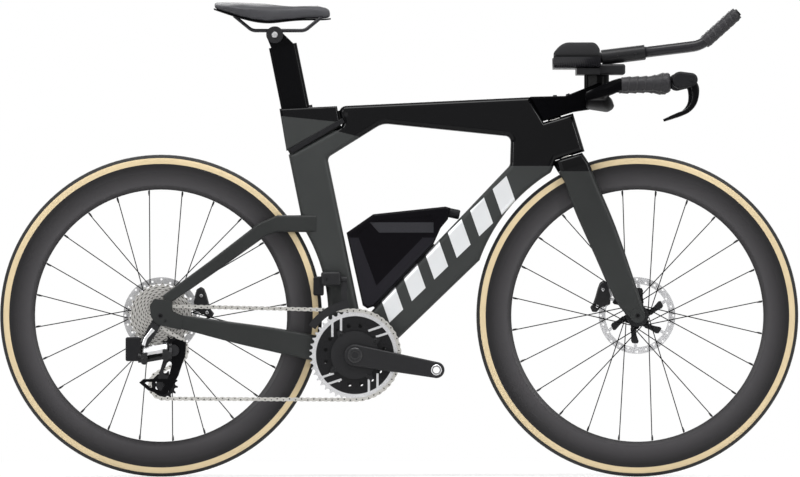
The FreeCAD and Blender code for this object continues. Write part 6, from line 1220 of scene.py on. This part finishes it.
# %% Brake blades
BLADE_LINE = ((-0.015, 0.045, 0.052), (0.0, 0.0, 0.078), (0.1, -0.20, 0.086), (0.075, -0.5, 0.066),
              (-0.08, -0.70, 0.054), (-0.32, -0.80, 0.048), (-0.54, -0.885, 0.03))
BLADE_LENGTH, BLADE_HALF_WIDTH = 0.092, 0.0057
BLADE_COLUMNS, BLADE_SQUARENESS = 16, 0.6


def spline(a, b, c, d, t):
    bend = (2 * a - 5 * b + 4 * c - d) * t * t
    return 0.5 * (2 * b + (c - a) * t + bend + (3 * b - a - 3 * c + d) * t ** 3)


def smooth_run(rows, steps):
    rows = [rows[0]] + list(rows) + [rows[-1]]
    result = []
    for n in range(1, len(rows) - 2):
        for k in range(steps):
            result.append([spline(*values, k / steps) for values in zip(*rows[n - 1:n + 3])])
    return result + [list(rows[-2])]


def blade_shell(pin):
    rows, points = smooth_run(BLADE_LINE, 5), []
    for number, (ahead, up, half) in enumerate(rows):
        before, after = rows[max(number - 1, 0)], rows[min(number + 1, len(rows) - 1)]
        run = Vector((after[0] - before[0], 0, after[1] - before[1])).normalized()
        centre = pin + Vector((ahead, 0, up)) * BLADE_LENGTH
        for column in range(BLADE_COLUMNS):
            angle = 2 * math.pi * column / BLADE_COLUMNS
            across, thick = (math.copysign(abs(v) ** BLADE_SQUARENESS, v)
                             for v in (math.cos(angle), math.sin(angle)))
            points.append(centre + Vector((0, across * BLADE_HALF_WIDTH, 0))
                          + Vector((-run.z, 0, run.x)) * thick * half * BLADE_LENGTH)
    return points, closed_run(len(rows), BLADE_COLUMNS)


for word, pin in LEVER_PINS.items():
    node = f"{word}_brake_lever"
    blade = joined_mesh(f"{word}_brake_blade", [blade_shell(pin)])
    dress(blade, gloss_black, "gloss_black", body_of[node], node)
    print(node, "faces", len(blade.data.polygons))

# %% [markdown]
# The chain cage of the derailleur has a broad outer plate, and a hooked guard
# around its lower pulley. Both are flat outlines laid on the face of the
# measured cage. The guard is a closed loop, so it's drawn as two outlines.

# %% Cage plate and guard
PLATE_OUTLINE = ((-0.4797, 0.2769), (-0.4630, 0.2881), (-0.4436, 0.2811), (-0.4449, 0.2561),
                 (-0.4596, 0.2115), (-0.4769, 0.1809), (-0.4895, 0.1712), (-0.4978, 0.1768),
                 (-0.4909, 0.1893), (-0.4797, 0.2115), (-0.4728, 0.2366), (-0.4756, 0.2575))
GUARD_OUTSIDE = ((-0.5416, 0.1969), (-0.5326, 0.2046), (-0.4825, 0.2046), (-0.4797, 0.1865),
                 (-0.4909, 0.1698), (-0.5229, 0.1809))
GUARD_INSIDE = ((-0.5298, 0.1962), (-0.5256, 0.1983), (-0.4923, 0.1983), (-0.4895, 0.1879),
                (-0.4950, 0.1788), (-0.5187, 0.1872))
PLATE_SINK, PLATE_RISE, GUARD_RISE = 0.0003, 0.0013, 0.0016


def loop_block(outside, inside, near, far):
    count = len(outside)
    points = [Vector((x, depth, z)) for depth in (near, far) for x, z in (*outside, *inside)]
    faces = []
    for n in range(count):
        after = (n + 1) % count
        faces += [(n, after, count + after, count + n),
                  (2 * count + n, 3 * count + n, 3 * count + after, 2 * count + after),
                  (n, 2 * count + n, 2 * count + after, after),
                  (count + n, count + after, 3 * count + after, 3 * count + n)]
    return points, faces


cage_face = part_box("derailleur_cage")[0][1]
foot = cage_face + PLATE_SINK
shells = [outline_block(PLATE_OUTLINE, foot, cage_face - PLATE_RISE),
          loop_block(GUARD_OUTSIDE, GUARD_INSIDE, foot, cage_face - GUARD_RISE)]
cage_plate = broken_edges(joined_mesh("cage_plate", shells), width=0.0005)
dress(cage_plate, gloss_black, "gloss_black", body_of["derailleur_cage"])
print("cage plate", len(cage_plate.data.polygons), "faces at", round(cage_face, 4))

# %% [markdown]
# The seat mast bends over a slit in the frame. A thin rubber lip closes the
# slit on each side. It's fixed to the mast and stands just clear of the
# frame, so it slides along when the mast moves.

# %% Lips over the mast slit
LIP_ENDS = (Vector((-0.2268, 0, 0.6785)), Vector((-0.1162, 0, 0.7437)))
LIP_HALF, LIP_GAP, LIP_THICK, LIP_ROWS = 0.0052, 0.0004, 0.0009, 13
LIP_SECTION = ((-1, 0), (-0.8, 1), (0.8, 1), (1, 0))
run = (LIP_ENDS[1] - LIP_ENDS[0]).normalized()
across = Vector((-run.z, 0, run.x)) * LIP_HALF
line = [LIP_ENDS[0].lerp(LIP_ENDS[1], n / (LIP_ROWS - 1)) for n in range(LIP_ROWS)]
shells = []
for side in (1, -1):
    reach = []
    for spot in line:
        felt = [0.0]
        for node in ("main_frame", "seat_mast"):
            for shift in (-1.3, -0.6, 0.0, 0.6, 1.3):
                start = spot + across * shift + Vector((0, OUTSIDE * side, 0))
                hit = on_skin(node, start, (0, -side, 0), LIP_HALF)
                felt.append(hit[0].y * side if hit else 0.0)
        reach.append(max(felt))
    reach = [max(reach[max(n - 1, 0):n + 2]) for n in range(LIP_ROWS)]
    points = [spot + across * shift + Vector((0, side * (far + LIP_GAP + rise * LIP_THICK), 0))
              for spot, far in zip(line, reach) for shift, rise in LIP_SECTION]
    shells.append((points, closed_run(LIP_ROWS, len(LIP_SECTION))))
    print("lip stands at", [round(v, 4) for v in reach])
mast_lips = joined_mesh("mast_lips", shells)
mast_lips.data.set_sharp_from_angle(angle=math.radians(30))
dress(mast_lips, black_plastic, "black_plastic", body_of["seat_mast"])

# %% [markdown]
# Every solid gets the finish of its slot in the part's record. A few pieces
# carry two colours that only their own place tells apart, such as a tyre or a
# disc rotor, and those are named here one by one.

# %% Give every solid its finish
finish_of_slot = {"frame_paint": frame_paint, "gloss_black": gloss_black, "carbon": carbon,
                  "tyre": tyre_finishes["front"], "steel": steel, "silver_alloy": silver_alloy,
                  "black_alloy": black_alloy, "black_plastic": black_plastic,
                  "bottle_plastic": bottle_plastic, "saddle_cover": saddle_cover, "pad_foam": pad_cloth,
                  "tape": bar_tape}
own_finish = {"fork": fork_paint, "rear_stays": stay_paint, "seat_mast": mast_paint, "base_bar": bar_black,
              "saddle_shell": bar_black, "cassette": cassette_steel, "outer_chainring": ring_alloy,
              "inner_chainring": ring_alloy}
for word in AXLES:
    own_finish.update({f"{word}_tyre": tyre_finishes[word], f"{word}_rim": rim_finishes[word],
                       f"{word}_rotor": rotor_finishes[word], f"{word}_spokes": spoke_black})
slot_of = {part["node"]: part["material_slot"] for part in frame["record"]["subparts"]}
for name, solid in nodes.items():
    solid.data.materials.clear()
    solid.data.materials.append(own_finish.get(name) or finish_of_slot[slot_of[name]])
print("finished solids", len(nodes))
